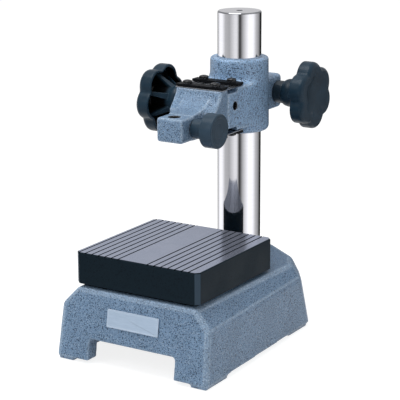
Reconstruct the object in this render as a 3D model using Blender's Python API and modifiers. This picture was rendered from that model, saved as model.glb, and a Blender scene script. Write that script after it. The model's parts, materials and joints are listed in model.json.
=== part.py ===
"""Comparator stand: a cast base with a grooved anvil, a round column, and an arm that
slides on the column and carries an indicator stem on two parallel leaf springs.

Metres, +Z up, +X to the right and +Y to the back. The origin is the centre of the
anvil's working face. The front of the stand faces -Y.
"""
import math

import bpy
import bmesh
from mathutils import Matrix

MM = 0.001

# Clearances
GAP = 0.3 * MM
OVERRUN = 4 * MM
MERGE = 0.01 * MM

# Anvil
ANVIL_WIDTH = 110 * MM
ANVIL_THICKNESS = 25 * MM
ANVIL_CORNER = 3.3 * MM
ANVIL_EDGE = 0.7 * MM
ANVIL_SEAT_HEIGHT = 1.9 * MM
ANVIL_SEAT_MARGIN = 5 * MM
GROOVE_COUNT = 7
GROOVE_PITCH = 6 * MM
GROOVE_WIDTH = 1.1 * MM
GROOVE_DEPTH = 1.2 * MM
GROOVE_MARGIN = 3.5 * MM
GROOVE_BAND = 26 * MM
ANVIL_SCREW_INSET = 17 * MM
ANVIL_SCREW_RADIUS = 3 * MM
ANVIL_SCREW_BITE = 13 * MM

# Column
COLUMN_Y = 96.9 * MM
COLUMN_RADIUS = 17.5 * MM
COLUMN_TOP = 169 * MM
COLUMN_EDGE = 1.2 * MM
COLUMN_SEAT_DEPTH = 34 * MM
CENTRE_HOLE_RADIUS = 2.6 * MM
CENTRE_HOLE_DEPTH = 4 * MM
COLUMN_BOLT_RADIUS = 5 * MM
COLUMN_BOLT_BITE = 22 * MM
WASHER_RADIUS = 11 * MM
WASHER_THICKNESS = 2 * MM

# Screws, as shares of the shank's radius
SOCKET_HEAD_SHARE = 5 / 3
SOCKET_HEAD_HEIGHT_SHARE = 2
SOCKET_HEAD_EDGE_SHARE = 1 / 6
SOCKET_SHARE = 0.95
GRUB_SOCKET_SHARE = 0.5
SCREW_TIP_SHARE = 1 / 3
SHAFT_TIP_SHARE = 1 / 5

# Base casting
BASE_TOP = -(ANVIL_THICKNESS + ANVIL_SEAT_HEIGHT + GAP)
BASE_HEIGHT = 55.1 * MM
SHOULDER_DROP = 14.3 * MM
TOP_HALF_FRONT = 52.4 * MM
TOP_HALF_BACK = 57.5 * MM
SHOULDER_HALF_FRONT = 66 * MM
SHOULDER_HALF_BACK = 64 * MM
FOOT_HALF_FRONT = 68 * MM
FOOT_HALF_BACK = 63.5 * MM
FRONT_LEDGE = 1 * MM
FRONT_SPREAD = 8.6 * MM
SIDE_END_TOP = -15 * MM
SIDE_END_FOOT = 5.4 * MM
TAIL_TOP = 40 * MM
TAIL_FOOT = 32 * MM
TAIL_WIDTH_SHARES = (0.84, 0.30)
TAIL_LENGTH_SHARES = (0.42, 1.0)
SIDE_END_INSET_SHARE = 0.35
CAST_RADIUS = 2.6 * MM
BASE_WALL = 12 * MM
BASE_ROOF = 11 * MM
BOSS_WALL = 9 * MM
BOSS_FLOOR = 8 * MM
ARCH_HALF = 38.5 * MM
ARCH_HEIGHT = 16.7 * MM
ARCH_RADIUS = 2 * MM
REAR_ARCH_HALF = 14 * MM
PAD_HEIGHT = 3 * MM
PAD_WIDTH = 15 * MM
PAD_LENGTH = 32 * MM
PAD_INSET = 1.5 * MM
SCREW_BOSS_RADIUS = 8 * MM
SCREW_BOSS_DROP = 4 * MM

# Name plate, left bare
PLATE_WIDTH = 46 * MM
PLATE_HEIGHT = 14 * MM
PLATE_THICKNESS = 0.8 * MM
PLATE_DROP = 18.8 * MM
PLATE_CORNER = 0.6 * MM

# Collar that slides on the column
ARM_MID = 98.1 * MM
BOX_HEIGHT = 34.2 * MM
BOX_HALF = 20.7 * MM
COLLAR_WALL = 6.2 * MM
COLLAR_DRAFT = 0.6 * MM
COLLAR_ABOVE = 17.4 * MM
COLLAR_BELOW = 7.6 * MM
COLLAR_TOP_EDGE = 2 * MM
COLLAR_BOTTOM_EDGE = 3.6 * MM
BOX_FRONT_SETBACK = 52 * MM
BOX_EDGE = 0.8 * MM
LUG_HALF = 19 * MM
LUG_HEIGHT = 28 * MM
LUG_MARGIN = 9 * MM
LUG_EDGE = 3.4 * MM
SPLIT_WIDTH = 3 * MM
CLAMP_SETBACK = 10.6 * MM
AXIS_RISE = 3 * MM
POCKET_HALF = 8.5 * MM
POCKET_DEPTH = 17.6 * MM
POCKET_MARGIN = 1.3 * MM

# Column clamp and its knob
CLAMP_SCREW_RADIUS = 5 * MM
CLAMP_SCREW_END = 17 * MM
SPACER_RADIUS = 9.1 * MM
SPACER_LENGTH = 7.4 * MM

# Lobed knobs, sizes from the knob's inner end
KNOB_LENGTH = 28.6 * MM
KNOB_RADIUS = 27.3 * MM
KNOB_RIM = 12 * MM
KNOB_WALL = 2.6 * MM
KNOB_FACE = 3.6 * MM
KNOB_CREASE = 18.5 * MM
KNOB_DISH = 1.6 * MM
KNOB_DISH_SHARES = (0, 0.4, 0.75)
KNOB_EDGE = 2.4 * MM
LOBE_COUNT = 6
LOBE_STEPS = 10
LOBE_RADIUS = 11.7 * MM
VALLEY_BLEND = math.radians(3)
HUB_RADIUS = 10.6 * MM
BARREL_RADIUS = 11.4 * MM
BARREL_END_RADIUS = 9.4 * MM
BARREL_PLACE = 4.2 * MM
BARREL_LENGTH = 8.5 * MM
BARREL_TURN_SHARE = 0.4
BARREL_TURN_PLACE_SHARE = 1 / 3
SHAFT_BITE = 17 * MM
RIB_THICKNESS = 2.2 * MM
RIB_START = 7.5 * MM
RIB_END_HEIGHT = 2.4 * MM
CLAMP_LOBE_PHASE = math.radians(5.9)
FINE_LOBE_PHASE = math.radians(19.6)

# Fine adjustment: an eccentric shaft that lifts the stem holder
FINE_SETBACK = 41.4 * MM
SHAFT_RADIUS = 5 * MM
SHAFT_TAIL_RADIUS = 2.8 * MM
SHAFT_TAIL_RECESS = 2.5 * MM
ECCENTRIC_RADIUS = 4.2 * MM
ECCENTRIC_THROW = 0.5 * MM
ECCENTRIC_HALF = 6.8 * MM
FORK_CLEARANCE = 0.35 * MM
FORK_HALF_HEIGHT = 7.5 * MM
FORK_HALF_WIDTH = 6.3 * MM
FORK_BACK = 5 * MM
BUSH_WALL = 1.6 * MM
BUSH_FLANGE = 5.6 * MM
RING_WIDTH = 1.7 * MM
RING_THICKNESS = 1 * MM
RING_OPENING = 4 * MM
GRUB_RADIUS = 2 * MM
GRUB_LENGTH = 4.8 * MM
GRUB_PLACE = 4.2 * MM

# Leaf springs, their clamp plates and screws
LEAF_THICKNESS = 0.4 * MM
CLAMP_PLATE_HALF = 21.2 * MM
CLAMP_PLATE_WIDTH = 8 * MM
CLAMP_PLATE_THICKNESS = 2 * MM
LEAF_FREE_LENGTH = 16.1 * MM
LEAF_RELIEF = 3.3 * MM
HOLDER_PLATE_OFFSET = 1.2 * MM
PLATE_SCREW_SPACING = 25.4 * MM
PLATE_SCREW_RADIUS = 2 * MM
PLATE_SCREW_LENGTH = 9.5 * MM
PAN_HEAD_RADIUS = 3.8 * MM
PAN_HEAD_HEIGHT = 2.8 * MM
PAN_HEAD_SIDE_SHARE = 0.35
CROSS_WIDTH = 1 * MM
CROSS_LENGTH = 4.4 * MM
CROSS_DEPTH = 1.3 * MM
SCREW_TURNS = (20, 65, 40, 5, 50, 10, 75, 30)

# Stem holder
HOLDER_DEPTH = 9.3 * MM
JOINT_GAP = 0.6 * MM
NOSE_HALF = 11.5 * MM
NOSE_FRONT = 7.6 * MM
NOSE_HEIGHT = 19 * MM
NOSE_EDGE = 2.2 * MM
NOSE_ROOT = 8 * MM
NOSE_FILLET = 8.2 * MM
EDGE_SHARE = 0.3
HOLDER_CORNER = 1 * MM
WING_REACH = 10.2 * MM
WING_POWER = 1.5
BULGE_START_SHARE = 0.15
STEM_RADIUS = 4.1 * MM
STEM_CHAMFER = 0.8 * MM
SWEEP_STEPS = 7

# Stem clamp: a cotter pair drawn together by a small knob
COTTER_SETBACK = 10.2 * MM
COTTER_RADIUS = 6.5 * MM
COTTER_HALF_GAP = 1 * MM
COTTER_SKIN = 1.5 * MM
COTTER_TRAVEL = 0.5 * MM
STUD_RADIUS = 3 * MM
STUD_BITE = 14 * MM
STEM_HUB_RADIUS = 7.6 * MM
STEM_HUB_LENGTH = 11.3 * MM
STEM_KNOB_RADIUS = 13.3 * MM
STEM_KNOB_LENGTH = 10.8 * MM
STEM_KNOB_EDGE = 0.9 * MM
STEM_KNOB_DISH = 0.6 * MM

# Sides of the round pieces
FINE_STEPS = 72
ROUND_STEPS = 32
SMALL_STEPS = 20
SCREW_STEPS = 16
SMOOTH_ANGLE = math.radians(35)
CAST_ANGLE = math.radians(15)
CORNER_ANGLE = math.radians(60)
QUARTER = math.pi / 2
QUARTER_TURN_SHARES = (0, 1 / 3, 2 / 3, 1)

# Places worked out from the sizes above
BOX_TOP = ARM_MID + BOX_HEIGHT / 2
BOX_BOTTOM = ARM_MID - BOX_HEIGHT / 2
COLLAR_RADIUS = COLUMN_RADIUS + GAP + COLLAR_WALL
COLLAR_TOP = BOX_TOP + COLLAR_ABOVE
COLLAR_BOTTOM = BOX_BOTTOM - COLLAR_BELOW
BOX_FRONT = COLUMN_Y - BOX_FRONT_SETBACK
HOLDER_BACK = BOX_FRONT - JOINT_GAP
HOLDER_FRONT = HOLDER_BACK - HOLDER_DEPTH
AXIS_Z = ARM_MID + AXIS_RISE
CLAMP_Y = COLUMN_Y + COLUMN_RADIUS + CLAMP_SETBACK
LUG_BACK = CLAMP_Y + LUG_MARGIN
FINE_Y = COLUMN_Y - FINE_SETBACK
NOSE_TOP = BOX_BOTTOM + NOSE_HEIGHT
COTTER_Y = COTTER_SETBACK
COTTER_Z = BOX_BOTTOM + NOSE_HEIGHT / 2
FRONT_ROW_Y = HOLDER_BACK - HOLDER_PLATE_OFFSET - CLAMP_PLATE_WIDTH / 2
REAR_ROW_Y = FRONT_ROW_Y + CLAMP_PLATE_WIDTH + LEAF_FREE_LENGTH
BASE_FOOT = BASE_TOP - BASE_HEIGHT
SLOPE = math.atan(FRONT_SPREAD / BASE_HEIGHT)


def clear_scene():
    """Remove every object that the scene starts with."""
    for obj in list(bpy.data.objects):
        bpy.data.objects.remove(obj, do_unlink=True)


def collection(name):
    """Make a collection under the scene's own."""
    made = bpy.data.collections.new(name)
    bpy.context.scene.collection.children.link(made)
    return made


clear_scene()
PARTS = collection("comparator_stand")
CUTTERS = collection("cutters")


def material(name, colour, roughness, metallic):
    """A Principled material of one colour."""
    made = bpy.data.materials.new(name)
    made.use_nodes = True
    shader = made.node_tree.nodes["Principled BSDF"]
    shader.inputs["Base Color"].default_value = (*colour, 1)
    shader.inputs["Roughness"].default_value = roughness
    shader.inputs["Metallic"].default_value = metallic
    made.diffuse_color = (*colour, 1)
    return made


PAINT = material("hammered_paint", (0.21, 0.31, 0.42), 0.45, 0.1)
CHROME = material("ground_chrome", (0.80, 0.80, 0.82), 0.12, 1)
ANVIL_STEEL = material("lapped_black_steel", (0.06, 0.08, 0.10), 0.25, 0.6)
PLASTIC = material("knob_plastic", (0.045, 0.06, 0.07), 0.5, 0)
BLACK_OXIDE = material("black_oxide_steel", (0.02, 0.02, 0.022), 0.4, 0.8)
SPRING_STEEL = material("spring_steel", (0.62, 0.62, 0.60), 0.25, 1)
BRIGHT_STEEL = material("bright_steel", (0.55, 0.55, 0.55), 0.3, 1)
BRONZE = material("bearing_bronze", (0.60, 0.42, 0.20), 0.35, 1)
PLATE_METAL = material("name_plate_metal", (0.50, 0.58, 0.66), 0.35, 0.7)


def place(name, mesh, finish=None, location=(0, 0, 0), rotation=(0, 0, 0)):
    """Put a mesh in the scene, as a part with a finish or as a cutter without one."""
    obj = bpy.data.objects.new(name, mesh)
    obj.location = location
    obj.rotation_euler = rotation
    if finish is None:
        CUTTERS.objects.link(obj)
        obj.display_type = "WIRE"
        obj.hide_render = True
    else:
        PARTS.objects.link(obj)
        mesh.materials.append(finish)
    return obj


def finish_mesh(shape, name):
    """Turn a bmesh into a mesh that is smooth except at its sharp edges."""
    mesh = bpy.data.meshes.new(name)
    shape.to_mesh(mesh)
    shape.free()
    mesh.shade_smooth()
    mesh.set_sharp_from_angle(angle=SMOOTH_ANGLE)
    return mesh


def box(name, low, high, finish=None, edge=0, segments=1, edge_axis=None):
    """A box between two corners. Its edges, or those along one axis, may be bevelled."""
    shape = bmesh.new()
    bmesh.ops.create_cube(shape, size=1)
    size = [b - a for a, b in zip(low, high)]
    bmesh.ops.scale(shape, vec=size, verts=shape.verts)
    if edge:
        edges = list(shape.edges)
        if edge_axis is not None:
            edges = [e for e in edges if abs(e.verts[0].co[edge_axis] - e.verts[1].co[edge_axis]) > edge]
        bmesh.ops.bevel(shape, geom=edges, offset=edge, segments=segments, profile=0.5,
                        affect="EDGES", material=-1)
    centre = [(a + b) / 2 for a, b in zip(low, high)]
    return place(name, finish_mesh(shape, name), finish, centre)


TURN_TO = {"Z": (0, 0, 0), "X": (0, QUARTER, 0), "-X": (0, -QUARTER, 0), "-Z": (math.pi, 0, 0)}


def rod(name, radius, start, length, axis="Z", finish=None, steps=ROUND_STEPS):
    """A plain cylinder that starts at a point and runs along an axis."""
    shape = bmesh.new()
    bmesh.ops.create_cone(shape, cap_ends=True, segments=steps, radius1=radius, radius2=radius,
                          depth=length)
    bmesh.ops.translate(shape, vec=(0, 0, length / 2), verts=shape.verts)
    return place(name, finish_mesh(shape, name), finish, start, TURN_TO[axis])


def turned(name, profile, location, axis="Z", finish=None, steps=ROUND_STEPS, closed=False):
    """A shape turned about its own Z from (radius, height) points, top to bottom outside."""
    mesh = bpy.data.meshes.new(name)
    points = [(radius, 0, height) for radius, height in profile]
    edges = [(i, i + 1) for i in range(len(points) - 1)]
    if closed:
        edges.append((len(points) - 1, 0))
    mesh.from_pydata(points, edges, [])
    obj = place(name, mesh, finish, location, TURN_TO[axis])
    screw = obj.modifiers.new("turn", "SCREW")
    screw.steps = steps
    screw.render_steps = steps
    screw.use_merge_vertices = True
    screw.merge_threshold = MERGE
    screw.use_smooth_shade = True
    return obj


def loft(name, sections, finish=None):
    """A closed skin over sections of equal point counts, listed from the top down."""
    shape = bmesh.new()
    rings = [[shape.verts.new(point) for point in section] for section in sections]
    count = len(rings[0])
    for upper, lower in zip(rings, rings[1:]):
        for i in range(count):
            j = (i + 1) % count
            shape.faces.new((upper[i], lower[i], lower[j], upper[j]))
    shape.faces.new(rings[0])
    shape.faces.new(list(reversed(rings[-1])))
    bmesh.ops.recalc_face_normals(shape, faces=shape.faces)
    return place(name, finish_mesh(shape, name), finish)


def cut(obj, *cutters):
    """Cut one shape with others."""
    for cutter in cutters:
        boolean = obj.modifiers.new("cut_" + cutter.name, "BOOLEAN")
        boolean.operation = "DIFFERENCE"
        boolean.solver = "EXACT"
        boolean.object = cutter
    return obj


def join(obj, *additions):
    """Join other shapes to one shape."""
    for addition in additions:
        boolean = obj.modifiers.new("join_" + addition.name, "BOOLEAN")
        boolean.operation = "UNION"
        boolean.solver = "EXACT"
        boolean.object = addition
    return obj


def round_edges(obj, width, segments, angle):
    """Round the edges of a shape that turn by more than an angle."""
    bevel = obj.modifiers.new("round", "BEVEL")
    bevel.width = width
    bevel.segments = segments
    bevel.limit_method = "ANGLE"
    bevel.angle_limit = angle
    return obj


def baked_mesh(obj, name):
    """The mesh that an object's modifiers give, after which the object is removed."""
    graph = bpy.context.evaluated_depsgraph_get()
    mesh = bpy.data.meshes.new_from_object(obj.evaluated_get(graph))
    mesh.name = name
    bpy.data.objects.remove(obj, do_unlink=True)
    return mesh


AXIS_PLACES = {}


def hang(obj, empty):
    """Parent an object to an axis empty and keep it where it is."""
    obj.parent = empty
    obj.matrix_parent_inverse = Matrix.Translation(AXIS_PLACES[empty.name]).inverted()


def joint_axis(name, location, parent=None):
    """An empty on a joint's axis, its place noted for the pieces that hang on it."""
    empty = bpy.data.objects.new(name, None)
    empty.location = location
    empty.empty_display_size = KNOB_RADIUS
    PARTS.objects.link(empty)
    AXIS_PLACES[name] = location
    if parent is not None:
        hang(empty, parent)
    return empty


COLUMN_AXIS = joint_axis("column_axis", (0, COLUMN_Y, 0))
COLLAR_SLIDE = joint_axis("collar_slide_axis", (0, COLUMN_Y, ARM_MID), COLUMN_AXIS)
CLAMP_AXIS = joint_axis("clamp_axis", (LUG_HALF, CLAMP_Y, AXIS_Z), COLLAR_SLIDE)
FINE_AXIS = joint_axis("fine_adjust_axis", (-BOX_HALF, FINE_Y, AXIS_Z), COLLAR_SLIDE)
HOLDER_SLIDE = joint_axis("holder_slide_axis", (0, HOLDER_BACK, ARM_MID), COLLAR_SLIDE)
STEM_CLAMP_AXIS = joint_axis("stem_clamp_axis", (NOSE_HALF, COTTER_Y, COTTER_Z), HOLDER_SLIDE)


def mix(a, b, share):
    """The value a share of the way from a to b."""
    return a + (b - a) * share


def base_level(z):
    """The base's plan sizes at a height: half widths, front, side end and tail length."""
    depth = (BASE_TOP - z) / BASE_HEIGHT
    shoulder = SHOULDER_DROP / BASE_HEIGHT
    if depth <= shoulder:
        share = depth / shoulder
        half_front = mix(TOP_HALF_FRONT, SHOULDER_HALF_FRONT, share)
        half_back = mix(TOP_HALF_BACK, SHOULDER_HALF_BACK, share)
    else:
        share = (depth - shoulder) / (1 - shoulder)
        half_front = mix(SHOULDER_HALF_FRONT, FOOT_HALF_FRONT, share)
        half_back = mix(SHOULDER_HALF_BACK, FOOT_HALF_BACK, share)
    front = -(ANVIL_WIDTH / 2 + FRONT_LEDGE) - FRONT_SPREAD * depth
    side_end = COLUMN_Y + mix(SIDE_END_TOP, SIDE_END_FOOT, depth)
    tail = mix(TAIL_TOP, TAIL_FOOT, depth)
    return half_front, half_back, front, side_end, tail


def base_section(z, inset=0):
    """The base's outline at a height, drawn in by a wall's thickness."""
    half_front, half_back, front, side_end, tail = base_level(z)
    right = [(half_front - inset, front + inset),
             (half_back - inset, side_end - inset * SIDE_END_INSET_SHARE)]
    for width_share, length_share in zip(TAIL_WIDTH_SHARES, TAIL_LENGTH_SHARES):
        x = half_back * width_share - inset * width_share
        drawn_in = inset * mix(SIDE_END_INSET_SHARE, 1, length_share)
        right.append((x, side_end + tail * length_share - drawn_in))
    left = [(-x, y) for x, y in reversed(right)]
    return [(x, y, z) for x, y in right + left]


def make_base_casting():
    """The hollow base casting with its column boss, anvil seat, arches and foot pads."""
    shoulder = BASE_TOP - SHOULDER_DROP
    floor = BASE_FOOT - PAD_HEIGHT
    below = floor - OVERRUN
    levels = (BASE_TOP, shoulder, below)
    casting = loft("base_casting", [base_section(z) for z in levels], PAINT)
    round_edges(casting, CAST_RADIUS, 2, CAST_ANGLE)
    roof = BASE_TOP - BASE_ROOF
    inner_levels = (roof, shoulder, below - OVERRUN)
    hollow = loft("base_hollow_cutter", [base_section(z, BASE_WALL) for z in inner_levels])
    cut(casting, hollow)

    boss_top = BASE_TOP - BASE_ROOF / 2
    boss_length = COLUMN_SEAT_DEPTH + BOSS_FLOOR - BASE_ROOF / 2
    boss = rod("column_boss", COLUMN_RADIUS + GAP + BOSS_WALL, (0, COLUMN_Y, boss_top), boss_length,
               "-Z", steps=FINE_STEPS)
    seat_half = ANVIL_WIDTH / 2 - ANVIL_SEAT_MARGIN
    seat = box("anvil_seat", (-seat_half, -seat_half, boss_top),
               (seat_half, seat_half, BASE_TOP + ANVIL_SEAT_HEIGHT))
    join(casting, boss, seat)
    for index, (x, y) in enumerate(anvil_screw_places()):
        join(casting, rod(f"screw_boss_{index}", SCREW_BOSS_RADIUS, (x, y, boss_top),
                          BASE_ROOF / 2 + SCREW_BOSS_DROP, "-Z", steps=SMALL_STEPS))

    bore = rod("column_seat_cutter", COLUMN_RADIUS + GAP, (0, COLUMN_Y, BASE_TOP - COLUMN_SEAT_DEPTH),
               COLUMN_SEAT_DEPTH + OVERRUN, steps=FINE_STEPS)
    bolt_hole = rod("column_bolt_cutter", COLUMN_BOLT_RADIUS + GAP,
                    (0, COLUMN_Y, BASE_TOP - COLUMN_SEAT_DEPTH - BOSS_FLOOR - OVERRUN),
                    BOSS_FLOOR + 2 * OVERRUN, steps=SMALL_STEPS)
    cut(casting, bore, bolt_hole)
    for index, (x, y) in enumerate(anvil_screw_places()):
        low = BASE_TOP - BASE_ROOF - SCREW_BOSS_DROP - OVERRUN
        cut(casting, rod(f"anvil_screw_cutter_{index}", ANVIL_SCREW_RADIUS + GAP, (x, y, low),
                         BASE_TOP + ANVIL_SEAT_HEIGHT + OVERRUN - low, steps=SMALL_STEPS))
    half_front, half_back, front, side_end, tail = base_level(BASE_FOOT)
    tail_end = side_end + tail
    wide = half_front + OVERRUN
    deep = below - OVERRUN
    under = box("under_cutter", (-wide, front - OVERRUN, deep), (wide, tail_end + OVERRUN, BASE_FOOT))
    ends = (("front", half_front, front + PAD_INSET, front + PAD_LENGTH),
            ("rear", half_back, side_end - PAD_LENGTH, side_end - PAD_INSET))
    for end, half, start_y, end_y in ends:
        pad_outer, pad_inner = half - PAD_INSET, half - PAD_WIDTH
        for side, low_x, high_x in (("left", -pad_outer, -pad_inner), ("right", pad_inner, pad_outer)):
            cut(under, box(f"pad_{end}_{side}_cutter", (low_x, start_y, floor),
                           (high_x, end_y, BASE_FOOT + OVERRUN)))
    arch_top = BASE_FOOT + ARCH_HEIGHT
    front_arch = box("front_arch_cutter", (-ARCH_HALF, front - OVERRUN, deep),
                     (ARCH_HALF, front + BASE_WALL + OVERRUN, arch_top),
                     edge=ARCH_RADIUS, segments=3, edge_axis=1)
    rear_arch = box("rear_arch_cutter", (-REAR_ARCH_HALF, tail_end - BASE_WALL - OVERRUN, deep),
                    (REAR_ARCH_HALF, tail_end + OVERRUN, arch_top), edge=ARCH_RADIUS, segments=3, edge_axis=1)
    cut(casting, under, front_arch, rear_arch)


def anvil_screw_places():
    """Centres of the four screws that hold the anvil from below."""
    half = ANVIL_WIDTH / 2 - ANVIL_SCREW_INSET
    return [(x, y) for y in (-half, half) for x in (-half, half)]


def make_anvil():
    """The square anvil with two sets of grooves and a plain band between them."""
    half = ANVIL_WIDTH / 2
    anvil = box("anvil", (-half, -half, -ANVIL_THICKNESS), (half, half, 0), ANVIL_STEEL,
                edge=ANVIL_CORNER, edge_axis=2)
    round_edges(anvil, ANVIL_EDGE, 1, CORNER_ANGLE)
    first = -half + GROOVE_MARGIN
    starts = (first, first + (GROOVE_COUNT - 1) * GROOVE_PITCH + GROOVE_BAND)
    for side, start in zip(("left", "right"), starts):
        for index in range(GROOVE_COUNT):
            x = start + index * GROOVE_PITCH
            cut(anvil, box(f"groove_cutter_{side}_{index}",
                           (x - GROOVE_WIDTH / 2, -half - OVERRUN, -GROOVE_DEPTH),
                           (x + GROOVE_WIDTH / 2, half + OVERRUN, OVERRUN)))
    for index, (x, y) in enumerate(anvil_screw_places()):
        bottom = -ANVIL_THICKNESS
        cut(anvil, rod(f"anvil_thread_cutter_{index}", ANVIL_SCREW_RADIUS + GAP, (x, y, bottom - OVERRUN),
                       OVERRUN + ANVIL_SCREW_BITE + GAP, steps=SMALL_STEPS))


def socket_screw(name, radius, length, location, finish):
    """A socket head cap screw that points up, its head hanging below the place given."""
    head_radius = radius * SOCKET_HEAD_SHARE
    head = radius * SOCKET_HEAD_HEIGHT_SHARE
    edge = radius * SOCKET_HEAD_EDGE_SHARE
    tip = radius * SCREW_TIP_SHARE
    profile = [(0, length), (radius - tip, length), (radius, length - tip), (radius, 0),
               (head_radius, 0), (head_radius, -head + edge), (head_radius - edge, -head), (0, -head)]
    screw = turned(name, profile, location, finish=finish, steps=SMALL_STEPS)
    x, y, seat = location
    socket = rod(name + "_socket_cutter", radius * SOCKET_SHARE, (x, y, seat - head - OVERRUN),
                 OVERRUN + radius, steps=6)
    return cut(screw, socket)


def make_base_fasteners():
    """The anvil's screws, the column's bolt and its washer, all fitted from below."""
    seat = BASE_TOP - BASE_ROOF - SCREW_BOSS_DROP - GAP
    length = -ANVIL_THICKNESS + ANVIL_SCREW_BITE - seat
    names = ("front_left", "front_right", "rear_left", "rear_right")
    for name, (x, y) in zip(names, anvil_screw_places()):
        socket_screw("anvil_screw_" + name, ANVIL_SCREW_RADIUS, length, (x, y, seat), BLACK_OXIDE)
    under = BASE_TOP - COLUMN_SEAT_DEPTH - BOSS_FLOOR - GAP
    hole = COLUMN_BOLT_RADIUS + GAP
    ring = [(hole, 0), (WASHER_RADIUS, 0), (WASHER_RADIUS, -WASHER_THICKNESS), (hole, -WASHER_THICKNESS)]
    turned("column_washer", ring, (0, COLUMN_Y, under), finish=BRIGHT_STEEL, closed=True)
    bolt_seat = under - WASHER_THICKNESS - GAP
    column_end = BASE_TOP - COLUMN_SEAT_DEPTH + GAP
    socket_screw("column_bolt", COLUMN_BOLT_RADIUS, column_end + COLUMN_BOLT_BITE - bolt_seat,
                 (0, COLUMN_Y, bolt_seat), BLACK_OXIDE)


def make_name_plate():
    """The bare name plate that lies on the sloping front of the base."""
    shape = bmesh.new()
    bmesh.ops.create_cube(shape, size=1)
    bmesh.ops.scale(shape, vec=(PLATE_WIDTH, PLATE_THICKNESS, PLATE_HEIGHT), verts=shape.verts)
    along = [e for e in shape.edges if abs(e.verts[0].co.y - e.verts[1].co.y) > PLATE_THICKNESS / 2]
    bmesh.ops.bevel(shape, geom=along, offset=PLATE_CORNER, segments=2, profile=0.5,
                    affect="EDGES", material=-1)
    z = BASE_TOP - PLATE_DROP
    y = base_level(z)[2]
    stand_off = GAP + PLATE_THICKNESS / 2
    location = (0, y - stand_off * math.cos(SLOPE), z + stand_off * math.sin(SLOPE))
    place("name_plate", finish_mesh(shape, "name_plate"), PLATE_METAL, location, (-SLOPE, 0, 0))


def make_column():
    """The ground column, with a centre hole in its top and a thread for its bolt below."""
    bottom = BASE_TOP - COLUMN_SEAT_DEPTH + GAP
    thread = COLUMN_BOLT_RADIUS + GAP
    thread_end = bottom + COLUMN_BOLT_BITE + GAP
    profile = [(0, COLUMN_TOP - CENTRE_HOLE_DEPTH), (CENTRE_HOLE_RADIUS, COLUMN_TOP),
               (COLUMN_RADIUS - COLUMN_EDGE, COLUMN_TOP), (COLUMN_RADIUS, COLUMN_TOP - COLUMN_EDGE),
               (COLUMN_RADIUS, bottom + COLUMN_EDGE), (COLUMN_RADIUS - COLUMN_EDGE, bottom),
               (thread, bottom), (thread, thread_end), (0, thread_end)]
    column = turned("column", profile, (0, COLUMN_Y, 0), finish=CHROME, steps=FINE_STEPS)
    hang(column, COLUMN_AXIS)


def make_collar():
    """The split collar casting, its front box and the two rear lugs of its clamp."""
    height = COLLAR_TOP - COLLAR_BOTTOM
    top, bottom = COLLAR_TOP_EDGE, COLLAR_BOTTOM_EDGE
    top_radius = COLLAR_RADIUS - COLLAR_DRAFT
    angles = [QUARTER * share for share in QUARTER_TURN_SHARES]
    upper = [(top_radius - top * (1 - math.sin(a)), height - top * (1 - math.cos(a))) for a in angles]
    lower = [(COLLAR_RADIUS - bottom * (1 - math.cos(a)), bottom * (1 - math.sin(a))) for a in angles]
    collar = turned("collar", [(0, height)] + upper + lower + [(0, 0)], (0, COLUMN_Y, COLLAR_BOTTOM),
                    finish=PAINT, steps=FINE_STEPS)
    front_box = box("collar_front_box", (-BOX_HALF, BOX_FRONT, BOX_BOTTOM), (BOX_HALF, COLUMN_Y, BOX_TOP),
                    edge=BOX_EDGE)
    lug_low = AXIS_Z - LUG_HEIGHT / 2
    lug = box("collar_lug", (-LUG_HALF, COLUMN_Y, lug_low), (LUG_HALF, LUG_BACK, lug_low + LUG_HEIGHT),
              edge=LUG_EDGE, segments=3)
    join(collar, front_box, lug)
    bore = rod("collar_bore_cutter", COLUMN_RADIUS + GAP, (0, COLUMN_Y, COLLAR_BOTTOM - OVERRUN),
               height + 2 * OVERRUN, steps=FINE_STEPS)
    bore.rotation_euler.z = math.pi / FINE_STEPS
    split = box("split_cutter", (-SPLIT_WIDTH / 2, COLUMN_Y, COLLAR_BOTTOM - OVERRUN),
                (SPLIT_WIDTH / 2, LUG_BACK + OVERRUN, COLLAR_TOP + OVERRUN))
    screw_hole = rod("clamp_screw_cutter", CLAMP_SCREW_RADIUS + GAP,
                     (-CLAMP_SCREW_END - GAP, CLAMP_Y, AXIS_Z), CLAMP_SCREW_END + LUG_HALF + OVERRUN,
                     "X", steps=ROUND_STEPS)
    cut(collar, bore, split, screw_hole)

    fork_room = FORK_HALF_HEIGHT + POCKET_MARGIN
    pocket = box("fork_pocket_cutter", (-POCKET_HALF, BOX_FRONT - OVERRUN, AXIS_Z - fork_room),
                 (POCKET_HALF, BOX_FRONT + POCKET_DEPTH, AXIS_Z + fork_room))
    bush_hole = rod("bush_cutter", SHAFT_RADIUS + BUSH_WALL + 2 * GAP,
                    (-BOX_HALF - OVERRUN, FINE_Y, AXIS_Z), BOX_HALF + OVERRUN - POCKET_HALF / 2,
                    "X", steps=ROUND_STEPS)
    tail_hole = rod("shaft_tail_cutter", SHAFT_TAIL_RADIUS + GAP, (0, FINE_Y, AXIS_Z),
                    BOX_HALF + OVERRUN, "X", steps=SMALL_STEPS)
    relief_back = REAR_ROW_Y - CLAMP_PLATE_WIDTH / 2 - GAP
    side = BOX_HALF + OVERRUN
    upper_relief = box("upper_relief_cutter", (-side, BOX_FRONT - OVERRUN, BOX_TOP - LEAF_RELIEF),
                       (side, relief_back, BOX_TOP + OVERRUN))
    lower_relief = box("lower_relief_cutter", (-side, BOX_FRONT - OVERRUN, BOX_BOTTOM - OVERRUN),
                       (side, relief_back, BOX_BOTTOM + LEAF_RELIEF))
    cut(collar, pocket, bush_hole, tail_hole, upper_relief, lower_relief)
    cut(collar, *plate_screw_cutters("collar", REAR_ROW_Y))
    hang(collar, COLLAR_SLIDE)


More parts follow.
